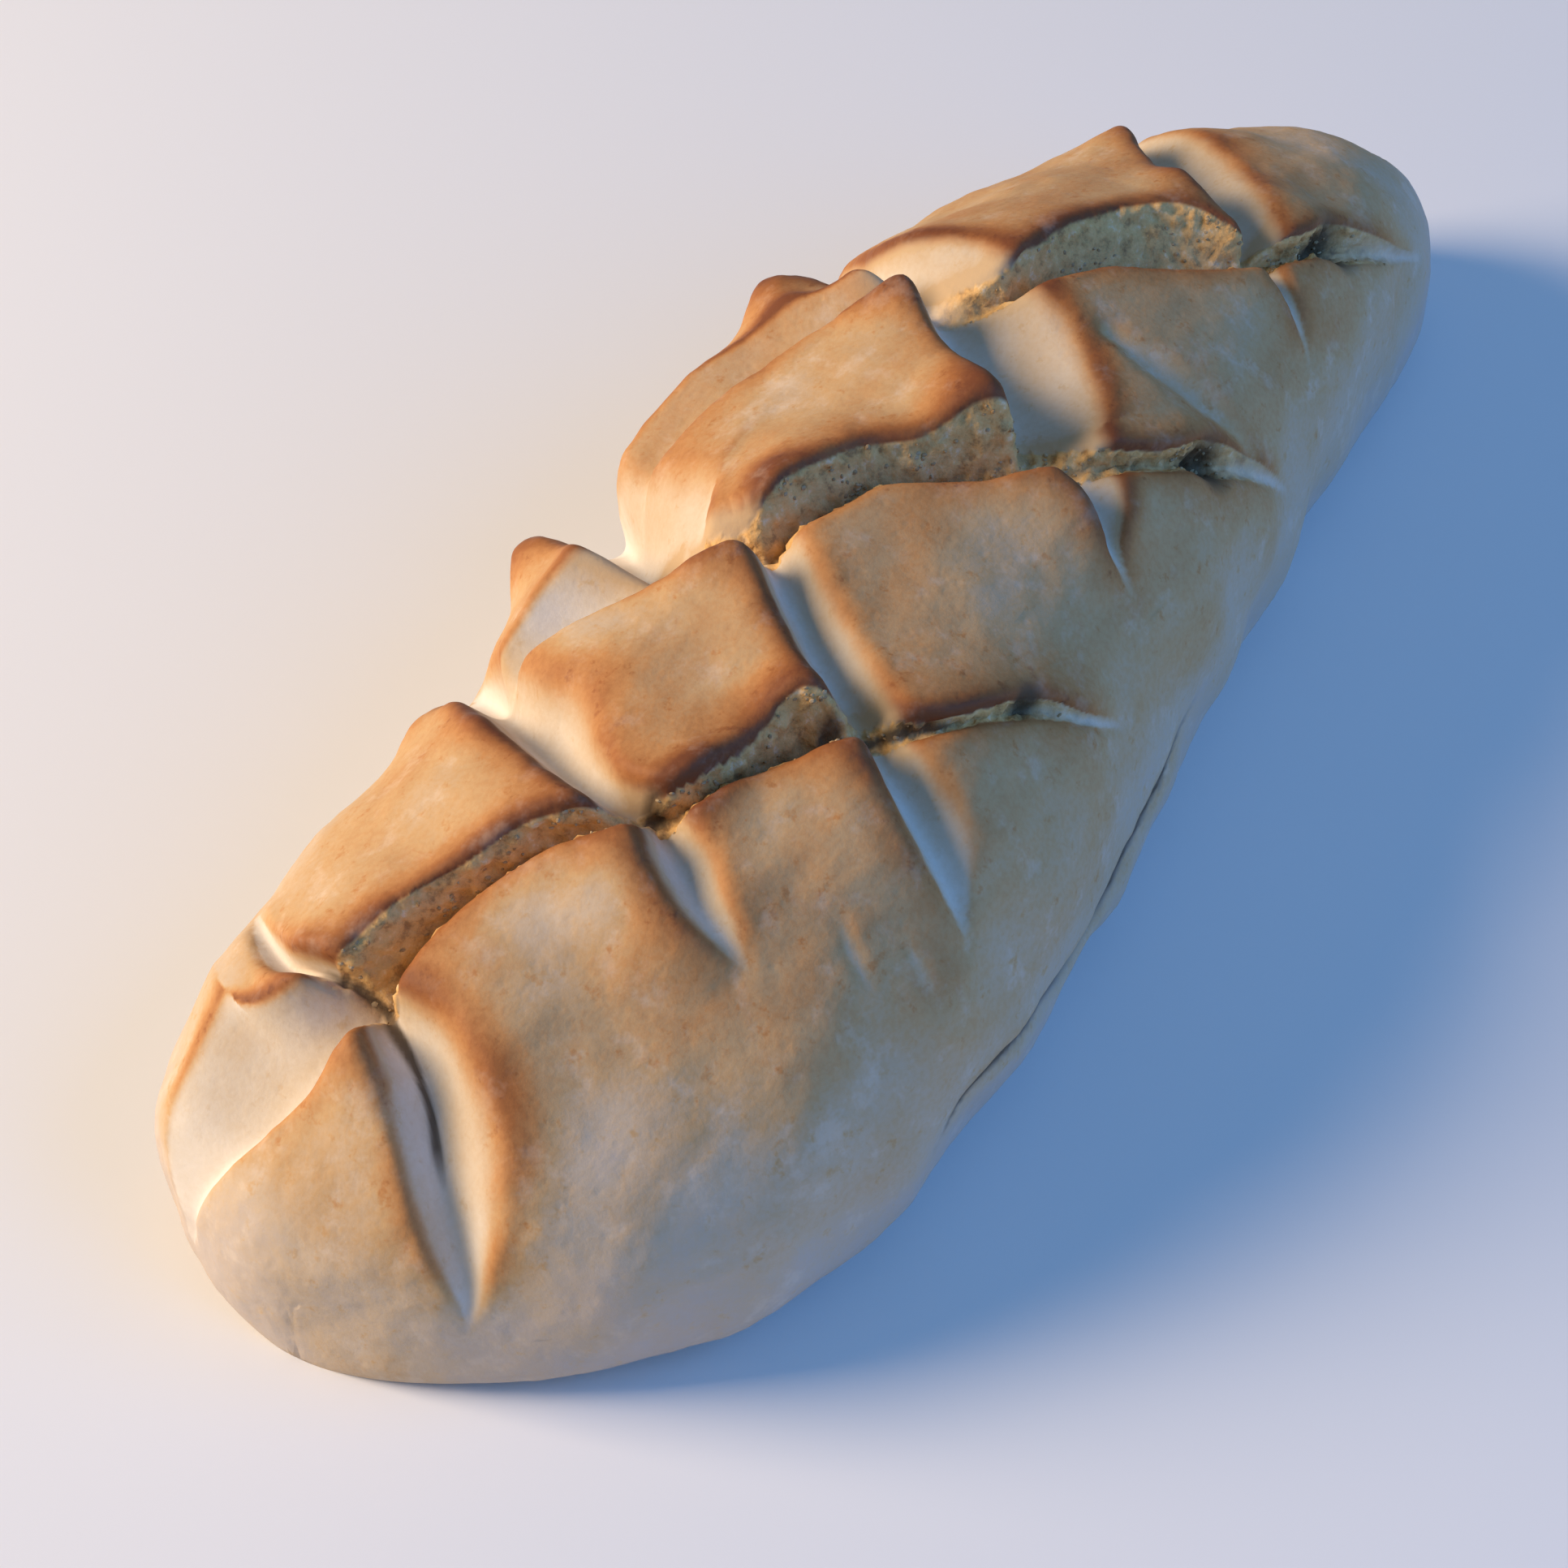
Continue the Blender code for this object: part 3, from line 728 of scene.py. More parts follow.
@dataclass
class Relief:
    """What slashes, peaks and patches do to each point of the skin."""

    count: int
    opened: np.ndarray = field(init=False)
    bare: np.ndarray = field(init=False)
    torn: np.ndarray = field(init=False)
    # Painted shade in cracks and pits: how dark they are painted.
    dark: np.ndarray = field(init=False)
    depth: np.ndarray = field(init=False)
    lift: np.ndarray = field(init=False)
    lean: np.ndarray = field(init=False)
    brown: np.ndarray = field(init=False)
    cuts: CutStyle = field(default_factory=CutStyle)
    marks: MarkStyle = field(default_factory=MarkStyle)

    def __post_init__(self) -> None:
        """Starts with an untouched skin."""
        for name in ("opened", "bare", "torn", "dark", "depth", "lift", "brown"):
            setattr(self, name, np.zeros(self.count))
        self.lean = np.zeros((self.count, 3))

    def open(self, slash: Slash, skin: Skin, points: np.ndarray) -> None:
        """Adds one slash.

        Args:
            slash: The slash.
            skin: The skin that it is laid on.
            points: All the points of the skin.
        """
        style = self.cuts
        line = Line.laid(slash, skin)
        reach = slash.reach * MM
        margin = line.sizes[:, :2].max() + style.rim_reaches * reach
        low, high = line.points.min(axis=0) - margin, line.points.max(axis=0) + margin
        inside = np.flatnonzero(np.all((points > low) & (points < high), axis=1))
        place, aside, sideways = line.beside(points[inside])
        near, far, deep = (np.interp(place, np.arange(len(line.sizes)), line.sizes[:, c]) for c in range(3))
        far_side = aside > 0
        width = np.where(far_side, far, near)
        share = place / (len(line.sizes) - 1)
        near_round = np.interp(share, style.near_rounds_between, slash.near_round)
        rounded = np.where(far_side, slash.far_round, near_round)
        inward = np.clip(1 - np.abs(aside) / width, 0, 1)
        sharp = 1 - (1 - inward) ** style.wall_steepness
        opened = sharp * (1 - rounded) + inward**2 * (3 - 2 * inward) * rounded
        beyond = np.maximum(np.abs(aside) - width, 0)
        fade = np.clip(np.minimum(share, 1 - share) * style.end_fade, 0, 1)
        left = math.exp(-style.rim_reaches)
        steep = np.maximum(np.exp(-beyond / reach) - left, 0) / (1 - left)
        rim = fade * (steep * (1 - rounded) + np.exp(-((beyond / reach) ** 2)) * rounded)
        self.raise_to("opened", inside, opened)
        self.raise_to("depth", inside, deep * opened)
        self.lift[inside] += np.where(far_side, slash.far_lift, slash.near_lift) * MM * rim
        lean = np.where(far_side, -slash.far_lean, slash.near_lean) * MM * steep**2 * fade
        self.lean[inside] += lean[:, None] * sideways
        self.finish(slash, inside, share * (len(slash.stops) - 1), opened, rounded, deep, fade)
        is_beyond = beyond[:, None] > 0
        sharp_spread, round_spread = np.where(is_beyond, style.browned_outside, style.browned_inside).T
        spread = (sharp_spread + round_spread * rounded) * MM
        brown = np.where(far_side, slash.far_brown, slash.near_brown) * fade
        self.raise_to("brown", inside, brown * np.exp(-(((np.abs(aside) - width) / spread) ** 2)))

    def raise_to(self, name: str, inside: np.ndarray, values: np.ndarray) -> None:
        """Raises one of the relief's values to new ones where they are higher.

        Args:
            name: The value's name.
            inside: The places of the points among all points.
            values: The new value of each of these points.
        """
        kept = getattr(self, name)
        kept[inside] = np.maximum(kept[inside], values)

    def finish(
        self,
        slash: Slash,
        inside: np.ndarray,
        stop: np.ndarray,
        opened: np.ndarray,
        rounded: np.ndarray,
        deep: np.ndarray,
        fade: np.ndarray,
    ) -> None:
        """Marks where a slash shows bare dough, torn dough or a crack painted dark as shade.

        Args:
            slash: The slash.
            inside: The places of its points among all points.
            stop: Where each point is along the slash, counted in stops.
            opened: How far each point is in the groove, from 0 at its edge to 1.
            rounded: How round the lip is there.
            deep: How deep the groove is there.
            fade: How far the slash has faded there, 0 at its ends.
        """
        style = self.cuts
        # A crack's floor is painted dark as shade.
        if slash.inside is Inside.CRACK:
            self.raise_to("dark", inside, np.clip(style.crack_edge * opened, 0, 1) * fade)
        if slash.inside in (Inside.DOUGH, Inside.TORN):
            sharp_edge, round_edge = style.dough_edge
            edge = np.clip(opened * (sharp_edge + round_edge * rounded), 0, 1)
            edge = edge * np.clip(deep / style.dough_depth, 0, 1)
            if slash.crusted_stops:
                edge = edge * np.clip(stop - slash.crusted_stops + 1, style.crusted_dough, 1)
            self.raise_to("bare", inside, edge)
        if slash.inside is Inside.TORN:
            rough = np.clip(stop - slash.smooth_stops + 1, 0, 1)
            self.raise_to("torn", inside, np.clip(opened * style.torn_edge, 0, 1) * fade * rough)

    @staticmethod
    def away(
        marks: tuple[Peak | Pit | Patch, ...], skin: Skin, points: np.ndarray
    ) -> Iterator[tuple[Peak | Pit | Patch, np.ndarray]]:
        """Measures the points against marks.

        Args:
            marks: The peaks, pits or patches.
            skin: The skin that they are placed on.
            points: All the points of the skin.

        Yields:
            Each mark with how far the points are from it, counted in its reach.
        """
        places, _ = skin.at(*(np.array([[m.along, m.around] for m in marks]).T * MM))
        for place, mark in zip(places, marks):
            yield mark, np.linalg.norm(points - place, axis=1) / (mark.reach * MM)

    def raise_peaks(self, skin: Skin, points: np.ndarray) -> None:
        """Lifts and browns the corners of crust, sinks the pits and paints shade into them, and browns the
        patches.

        Args:
            skin: The skin that they are placed on.
            points: All the points of the skin.
        """
        style = self.marks
        for peak, away in self.away(PEAKS, skin, points):
            near = np.clip(1 - away, 0, 1)
            self.lift += peak.high * MM * near**style.peak_fall
            self.brown += peak.brown * near**style.peak_brown_fall
        for pit, away in self.away(PITS, skin, points):
            near = np.clip(1 - away, 0, 1)
            self.depth += pit.deep * MM * near**style.pit_fall
            # Each pit is painted dark as shade towards its middle.
            self.dark = np.maximum(self.dark, np.clip(style.pit_painted_shade * near, 0, 1))
        for patch, away in self.away(PATCHES, skin, points):
            self.brown += patch.bake * np.clip(style.patch_bake - style.patch_bake * away, 0, 1)


def blurred(grid: np.ndarray, reach: int) -> np.ndarray:
    """A grid averaged twice over its neighbours, closed around the loaf.

    Args:
        grid: Values in rings.
        reach: How many rings, and points of a ring, to average over on each side.

    Returns:
        The averaged values.
    """
    for _ in range(2):
        padded = np.concatenate([grid[:, -reach - 1 :], grid, grid[:, :reach]], axis=1)
        total = np.cumsum(padded, axis=1)
        grid = (total[:, 2 * reach + 1 :] - total[:, : -2 * reach - 1]) / (2 * reach + 1)
        padded = np.pad(grid, ((reach + 1, reach), (0, 0)), mode="edge")
        total = np.cumsum(padded, axis=0)
        grid = (total[2 * reach + 1 :] - total[: -2 * reach - 1]) / (2 * reach + 1)
    return grid


def softened(rings: np.ndarray, times: int) -> np.ndarray:
    """Rounds the edges of the crust by moving each point towards its neighbours.

    Args:
        rings: Rings of points.
        times: How often to do it.

    Returns:
        The rounded rings.
    """
    for _ in range(times):
        rings = rings / 2 + (np.roll(rings, 1, axis=1) + np.roll(rings, -1, axis=1)) / 4
        inner = rings[1:-1] / 2 + (rings[:-2] + rings[2:]) / 4
        rings = np.concatenate([rings[:1], inner, rings[-1:]])
    return rings


@dataclass(frozen=True)
class Noise:
    """Noise in space: its waves in a metre, how many finer layers it has, and how rough they are."""

    scale: float
    detail: float = 2.0
    roughness: float = 0.5


@dataclass(frozen=True)
class Mottle(Noise):
    """Noise that raises and lowers a value by half its strength."""

    strength: float = 1.0


@dataclass(frozen=True)
class Patches(Noise):
    """Noise that shows in patches only: where in the noise they come up, and how strong they are."""

    span: Span = (0.4, 0.6)
    strength: float = 1.0


class Tree:
    """A node tree with short ways to add and join nodes."""

    def __init__(self, tree: bpy.types.NodeTree) -> None:
        """Wraps a node tree."""
        self.tree = tree

    def add(self, kind: str, **settings: object) -> bpy.types.Node:
        """Adds a node.

        Args:
            kind: The node's type.
            **settings: Properties to set on it.

        Returns:
            The node.
        """
        node = self.tree.nodes.new(kind)
        for name, value in settings.items():
            setattr(node, name, value)
        return node

    def feed(self, socket: bpy.types.NodeSocket, source: object) -> None:
        """Joins a source socket to a socket, or sets the socket to a plain value."""
        if isinstance(source, bpy.types.NodeSocket):
            self.tree.links.new(source, socket)
        else:
            socket.default_value = source

    def math(self, operation: str, *sources: object, clamp: bool = False) -> bpy.types.NodeSocket:
        """A calculation on numbers.

        Args:
            operation: The Math node's operation.
            *sources: Sockets or numbers.
            clamp: Whether to keep the result between 0 and 1.

        Returns:
            The result's socket.
        """
        node = self.add("ShaderNodeMath", operation=operation, use_clamp=clamp)
        for socket, source in zip(node.inputs, sources):
            self.feed(socket, source)
        return node.outputs[0]

    def ranged(
        self, value: object, span: Span, to_low: float = 0.0, to_high: float = 1.0
    ) -> bpy.types.NodeSocket:
        """A number taken smoothly from one range to another.

        Args:
            value: The number's socket.
            span: The start and end of its range.
            to_low: What the start becomes.
            to_high: What the end becomes.

        Returns:
            The result's socket.
        """
        node = self.add("ShaderNodeMapRange", interpolation_type="SMOOTHSTEP")
        for socket, source in zip(node.inputs, (value, *span, to_low, to_high)):
            self.feed(socket, source)
        return node.outputs[0]

    def mixed(self, factor: object, first: object, second: object) -> bpy.types.NodeSocket:
        """A mixture of two colours.

        Args:
            factor: How much of the second.
            first: The first colour or its socket.
            second: The second colour or its socket.

        Returns:
            The colour's socket.
        """
        node = self.add("ShaderNodeMix", data_type="RGBA", blend_type="MIX", clamp_factor=True)
        self.feed(node.inputs[0], factor)
        for socket, source in zip((node.inputs[6], node.inputs[7]), (first, second)):
            self.feed(socket, (*source, 1.0) if isinstance(source, tuple) else source)
        return node.outputs[2]

    def noise(
        self, place: object, scale: object, detail: float = 2.0, roughness: float = 0.5
    ) -> bpy.types.NodeSocket:
        """A noise between 0 and 1.

        Args:
            place: The coordinates' socket.
            scale: How many waves in a metre.
            detail: How many finer layers.
            roughness: How strong the finer layers are.

        Returns:
            The noise's socket.
        """
        node = self.add("ShaderNodeTexNoise")
        sources = {"Vector": place, "Scale": scale, "Detail": detail, "Roughness": roughness}
        for name, source in sources.items():
            self.feed(node.inputs[name], source)
        return node.outputs["Fac"]

    def layered(self, place: object, noise: Noise) -> bpy.types.NodeSocket:
        """A noise as described."""
        return self.noise(place, noise.scale, noise.detail, noise.roughness)

    def mottled(self, place: object, mottle: Mottle) -> bpy.types.NodeSocket:
        """A noise around 0 that is as strong as a mottle says."""
        return self.math("MULTIPLY", self.math("SUBTRACT", self.layered(place, mottle), 0.5), mottle.strength)

    def patchy(self, place: object, patches: Patches) -> bpy.types.NodeSocket:
        """A mask that is 0 between patches and as strong in them as they say."""
        return self.ranged(self.layered(place, patches), patches.span, 0.0, patches.strength)

    def bumped(self, height: object, strength: float, distance: float) -> bpy.types.NodeSocket:
        """A normal that follows a height.

        Args:
            height: The height's socket.
            strength: How strong the bump is.
            distance: How high a height of 1 is, in metres.

        Returns:
            The normal's socket.
        """
        bump = self.add("ShaderNodeBump")
        bump.inputs["Strength"].default_value = strength
        bump.inputs["Distance"].default_value = distance
        self.feed(bump.inputs["Height"], height)
        return bump.outputs["Normal"]

    def ramp(self, value: object, colours: Colours) -> bpy.types.NodeSocket:
        """A colour that follows a number.

        Args:
            value: The number's socket.
            colours: Places between 0 and 1 and their colours.

        Returns:
            The colour's socket.
        """
        node = self.add("ShaderNodeValToRGB")
        stops = node.color_ramp.elements
        while len(stops) < len(colours):
            stops.new(0.5)
        for stop, (place, colour) in zip(stops, colours):
            stop.position = place
            stop.color = (*colour, 1.0)
        self.feed(node.inputs[0], value)
        return node.outputs["Color"]


class GrainGroup:
    """The shader group of fine grain that crust and crumbs share: a height and a mask of specks."""

    NAME: ClassVar[str] = "baked_grain"
    INPUTS: ClassVar[dict[str, float]] = {"Grain Scale": 900.0, "Pore Scale": 260.0}
    OUTPUTS: ClassVar[tuple[str, ...]] = ("Height", "Specks")
    PORE_EDGE: ClassVar[Span] = (0.0, 0.35)
    SPECK_EDGE: ClassVar[Span] = (0.35, 0.7)
    GRAIN_SHARE: ClassVar[float] = 0.6
    PORE_SHARE: ClassVar[float] = 0.4

    @classmethod
    def build(cls) -> bpy.types.NodeTree:
        """Makes the group, or finds it if it is there.

        Returns:
            The group.
        """
        if cls.NAME in bpy.data.node_groups:
            return bpy.data.node_groups[cls.NAME]
        group = bpy.data.node_groups.new(cls.NAME, "ShaderNodeTree")
        for name, value in cls.INPUTS.items():
            socket = group.interface.new_socket(name, in_out="INPUT", socket_type="NodeSocketFloat")
            socket.default_value = value
        for name in cls.OUTPUTS:
            group.interface.new_socket(name, in_out="OUTPUT", socket_type="NodeSocketFloat")
        tree = Tree(group)
        start = tree.add("NodeGroupInput")
        end = tree.add("NodeGroupOutput")
        place = tree.add("ShaderNodeTexCoord").outputs["Object"]
        fine = tree.noise(place, start.outputs["Grain Scale"], 3.0, 0.6)
        cells = tree.add("ShaderNodeTexVoronoi", feature="F1")
        tree.feed(cells.inputs["Vector"], place)
        tree.feed(cells.inputs["Scale"], start.outputs["Pore Scale"])
        pores = tree.math("MULTIPLY", tree.ranged(cells.outputs["Distance"], cls.PORE_EDGE), cls.PORE_SHARE)
        tree.feed(end.inputs["Height"], tree.math("ADD", tree.math("MULTIPLY", fine, cls.GRAIN_SHARE), pores))
        tree.feed(end.inputs["Specks"], tree.ranged(fine, cls.SPECK_EDGE))
        return group

    @classmethod
    def place(cls, tree: Tree, grain_scale: float, pore_scale: float) -> bpy.types.Node:
        """Puts the group in a material.

        Args:
            tree: The material's tree.
            grain_scale: Grains in a metre.
            pore_scale: Pores in a metre.

        Returns:
            The group's node.
        """
        node = tree.add("ShaderNodeGroup", node_tree=cls.build())
        node.inputs["Grain Scale"].default_value = grain_scale
        node.inputs["Pore Scale"].default_value = pore_scale
        return node


@dataclass(frozen=True)
class CrustFinish:
    """Baked crust that goes from pale dough over golden tan to dark brown, with pale dough in its slashes."""

    name: str = "baked_crust"
    bake_colours: Colours = (
        # The palest stop, low on the flanks, is darkened and greyed: partly the pale unbaked crust, partly
        # painted shade of a shaded flank.
        (0.0, (0.53, 0.45, 0.39)),
        (0.2, (0.57, 0.43, 0.29)),
        (0.38, (0.55, 0.34, 0.16)),
        (0.55, (0.49, 0.23, 0.08)),
        (0.74, (0.34, 0.125, 0.035)),
        (1.0, (0.18, 0.055, 0.018)),
    )
    dough_colours: Colours = (
        (0.0, (0.73, 0.67, 0.60)),
        (0.20, (0.69, 0.61, 0.51)),
        (0.36, (0.63, 0.52, 0.39)),
        (0.6, (0.56, 0.39, 0.22)),
    )
    torn_colours: Colours = (
        (0.32, (0.34, 0.18, 0.06)),
        (0.46, (0.66, 0.38, 0.13)),
        (0.58, (0.74, 0.45, 0.17)),
        (0.70, (0.80, 0.60, 0.36)),
    )
    flour: Colour = (0.70, 0.58, 0.46)
    # Painted shade: the dark colour laid into deep torn hollows, cracks and pits.
    hollow: Colour = (0.085, 0.055, 0.030)
    grain_scale: float = 900.0
    pore_scale: float = 300.0
    broad: Mottle = Mottle(38.0, 2.0, 0.5, 0.34)
    blotches: Mottle = Mottle(170.0, 3.0, 0.6, 0.10)
    streaks: Mottle = Mottle(90.0, 2.0, 0.5, 0.30)
    streak_stretch: tuple[float, float, float] = (0.3, 1.0, 1.0)
    speck_bake: float = 0.06
    spots: Patches = Patches(300.0, 3.0, 0.7, (0.58, 0.74), 0.14)
    floury: Patches = Patches(120.0, 4.0, 0.7, (0.52, 0.72), 0.45)
    floury_bakes: Span = (0.2, 0.6)
    floury_on_brown: float = 0.35
    dough_raggedness: float = 4.0
    dough_edge: Span = (0.05, 0.95)
    torn_noise: Noise = Noise(330.0, 4.0, 0.7)
    torn_edge: Span = (0.1, 0.8)
    torn_cover: float = 0.92
    rough_bakes: Span = (0.3, 0.9)
    pale_roughness: float = 0.74
    brown_roughness: float = 0.62
    specular: float = 0.25
    bump: float = 0.35
    bump_distance: float = 0.35 * MM
    torn_bump: float = 4.5

    def bake(self, tree: Tree, place: object, baked: object, specks: object) -> bpy.types.NodeSocket:
        """Works out how far the crust is baked at each place.

        Args:
            tree: The material's tree.
            place: The coordinates' socket.
            baked: The socket of the skin's own bake.
            specks: The socket of the grain's specks.

        Returns:
            The bake's socket.
        """
        stretched = tree.add("ShaderNodeMapping")
        stretched.inputs["Scale"].default_value = self.streak_stretch
        tree.feed(stretched.inputs["Vector"], place)
        bake = tree.math("ADD", baked, tree.mottled(place, self.broad))
        bake = tree.math("ADD", bake, tree.mottled(place, self.blotches))
        bake = tree.math("ADD", bake, tree.mottled(stretched.outputs["Vector"], self.streaks))
        speckle = tree.math("MULTIPLY", tree.math("SUBTRACT", specks, 0.5), self.speck_bake)
        bake = tree.math("ADD", bake, speckle, clamp=True)
        return tree.math("ADD", bake, tree.patchy(place, self.spots), clamp=True)

    def colour(
        self, tree: Tree, place: object, bake: object, masks: dict[Mask, bpy.types.NodeSocket]
    ) -> bpy.types.NodeSocket:
        """Works out the colour of crust, bare dough and torn walls, and paints shade into hollows, cracks and
        pits.

        Args:
            tree: The material's tree.
            place: The coordinates' socket.
            bake: The bake's socket.
            masks: The sockets of the values that the skin carries.

        Returns:
            The colour's socket.
        """
        on_brown = tree.ranged(bake, self.floury_bakes, 1.0, self.floury_on_brown)
        floury = tree.math("MULTIPLY", tree.patchy(place, self.floury), on_brown)
        crust = tree.mixed(floury, tree.ramp(bake, self.bake_colours), self.flour)
        ragged = tree.math("MULTIPLY", tree.mottled(place, self.blotches), self.dough_raggedness)
        edge = tree.math("ADD", masks[Mask.CRUMB], ragged)
        dough = tree.ramp(bake, self.dough_colours)
        colour = tree.mixed(tree.ranged(edge, self.dough_edge), crust, dough)
        torn = tree.ramp(tree.layered(place, self.torn_noise), self.torn_colours)
        colour = tree.mixed(tree.ranged(masks[Mask.TORN], self.torn_edge, 0.0, self.torn_cover), colour, torn)
        # Paints shade into hollows, cracks and pits.
        return tree.mixed(masks[Mask.HOLLOW], colour, self.hollow)

    def material(self) -> bpy.types.Material:
        """Builds the material from the values that the skin carries.

        Returns:
            The material.
        """
        material = bpy.data.materials.new(self.name)
        material.use_nodes = True
        tree = Tree(material.node_tree)
        shader = material.node_tree.nodes["Principled BSDF"]
        place = tree.add("ShaderNodeTexCoord").outputs["Object"]
        masks = {}
        for mask in Mask:
            masks[mask] = tree.add("ShaderNodeAttribute", attribute_name=mask.value).outputs["Fac"]
        grain = GrainGroup.place(tree, self.grain_scale, self.pore_scale)
        bake = self.bake(tree, place, masks[Mask.BAKE], grain.outputs["Specks"])
        tree.feed(shader.inputs["Base Color"], self.colour(tree, place, bake, masks))
        roughness = tree.ranged(bake, self.rough_bakes, self.pale_roughness, self.brown_roughness)
        tree.feed(shader.inputs["Roughness"], roughness)
        shader.inputs["Specular IOR Level"].default_value = self.specular
        coarseness = tree.ranged(masks[Mask.TORN], (0, 1), 1.0, self.torn_bump)
        height = tree.math("MULTIPLY", grain.outputs["Height"], coarseness)
        tree.feed(shader.inputs["Normal"], tree.bumped(height, self.bump, self.bump_distance))
        return material


@dataclass(frozen=True)
class FlakeFinish:
    """Dry crumbs of torn dough."""

    name: str = "torn_crumb"
    pale: Colour = (0.46, 0.34, 0.19)
    toasted: Colour = (0.34, 0.21, 0.09)
    toasting: Patches = Patches(350.0, 2.0, 0.5, (0.35, 0.65))
    grain_scale: float = 2400.0
    pore_scale: float = 900.0
    roughness: Span = (0.7, 0.85)
    bump: float = 0.3
    bump_distance: float = 0.1 * MM

    def material(self) -> bpy.types.Material:
        """Builds the material.

        Returns:
            The material.
        """
        material = bpy.data.materials.new(self.name)
        material.use_nodes = True
        tree = Tree(material.node_tree)
        shader = material.node_tree.nodes["Principled BSDF"]
        place = tree.add("ShaderNodeTexCoord").outputs["Object"]
        grain = GrainGroup.place(tree, self.grain_scale, self.pore_scale)
        colour = tree.mixed(tree.patchy(place, self.toasting), self.pale, self.toasted)
        tree.feed(shader.inputs["Base Color"], colour)
        tree.feed(shader.inputs["Roughness"], tree.ranged(grain.outputs["Specks"], (0, 1), *self.roughness))
        bumped = tree.bumped(grain.outputs["Height"], self.bump, self.bump_distance)
        tree.feed(shader.inputs["Normal"], bumped)
        return material


def plain_mesh(obj: bpy.types.Object) -> bpy.types.Mesh:
    """The object's mesh with its modifiers applied, as a mesh of its own."""
    graph = bpy.context.evaluated_depsgraph_get()
    return bpy.data.meshes.new_from_object(obj.evaluated_get(graph))


def shown(name: str, mesh: bpy.types.Mesh) -> bpy.types.Object:
    """Puts a mesh in the scene under a name."""
    obj = bpy.data.objects.new(name, mesh)
    bpy.context.scene.collection.objects.link(obj)
    return obj


@dataclass
class GeometryRecipe:
    """A Geometry Nodes tree with named number inputs, run once on an object."""

    name: str
    inputs: dict[str, float]

    def new_tree(self) -> tuple[Tree, bpy.types.Node, bpy.types.Node]:
        """Starts the tree with its sockets.

        Returns:
            The tree, its input node and its output node.
        """
        group = bpy.data.node_groups.new(self.name, "GeometryNodeTree")
        group.interface.new_socket("Geometry", in_out="INPUT", socket_type="NodeSocketGeometry")
        for name in self.inputs:
            kind = "NodeSocketInt" if name == "Seed" else "NodeSocketFloat"
            group.interface.new_socket(name, in_out="INPUT", socket_type=kind)
        group.interface.new_socket("Geometry", in_out="OUTPUT", socket_type="NodeSocketGeometry")
        tree = Tree(group)
        return tree, tree.add("NodeGroupInput"), tree.add("NodeGroupOutput")

    def end(
        self, tree: Tree, last: bpy.types.NodeSocket, out: bpy.types.Node, material: bpy.types.Material
    ) -> None:
        """Closes the tree with realized instances and a material.

        Args:
            tree: The tree.
            last: The geometry so far.
            out: The output node.
            material: The material to set.
        """
        real = tree.add("GeometryNodeRealizeInstances")
        dress = tree.add("GeometryNodeSetMaterial")
        dress.inputs["Material"].default_value = material
        tree.feed(real.inputs[0], last)
        tree.feed(dress.inputs["Geometry"], real.outputs[0])
        tree.feed(out.inputs[0], dress.outputs[0])

    def run(self, tree: Tree, obj: bpy.types.Object) -> bpy.types.Mesh:
        """Runs the tree on an object.

        Args:
            tree: The finished tree.
            obj: The object; its own mesh stays as it is.

        Returns:
            The result as a plain mesh.
        """
        modifier = obj.modifiers.new(self.name, "NODES")
        modifier.node_group = tree.tree
        for item in tree.tree.interface.items_tree:
            if item.in_out == "INPUT" and item.name in self.inputs:
                value = self.inputs[item.name]
                modifier[item.identifier] = int(value) if item.name == "Seed" else float(value)
        mesh = plain_mesh(obj)
        obj.modifiers.remove(modifier)
        return mesh


@dataclass(frozen=True)
class BakeAndPaintedShade:
    """How far the crust bakes: more with its level over the tray and where it stands proud, and unevenly; and
    how dark its torn hollows and cracks are painted as shade.

    Reaches, levels and heights are in metres; bakes are shares from pale to dark.
    """

    least: float = 0.04
    by_level: float = 0.40
    pale_level: float = 12 * MM
    level_range: float = 46 * MM
    proud_reaches: tuple[float, float] = (3.0 * MM, 8.0 * MM)
    proud_heights: tuple[float, float] = (1.2 * MM, 3.0 * MM)
    proud_bakes: tuple[float, float] = (0.06, 0.15)
    seed: int = 3
    waves: tuple[tuple[float, float], ...] = ((48, 0.35), (20, 0.25))
    evenness: float = 0.85
    uneven_range: Span = (0.3, 1.3)
    # Painted shade: torn places that are sunk and hollowed past these are painted dark, and cracks as well.
    hollow_from: float = 3.0 * MM
    hollow_range: float = 5.0 * MM
    hollow_sunk: float = 1.0 * MM
    hollow_painted_shade: float = 0.6
    crack_painted_shade: float = 0.9


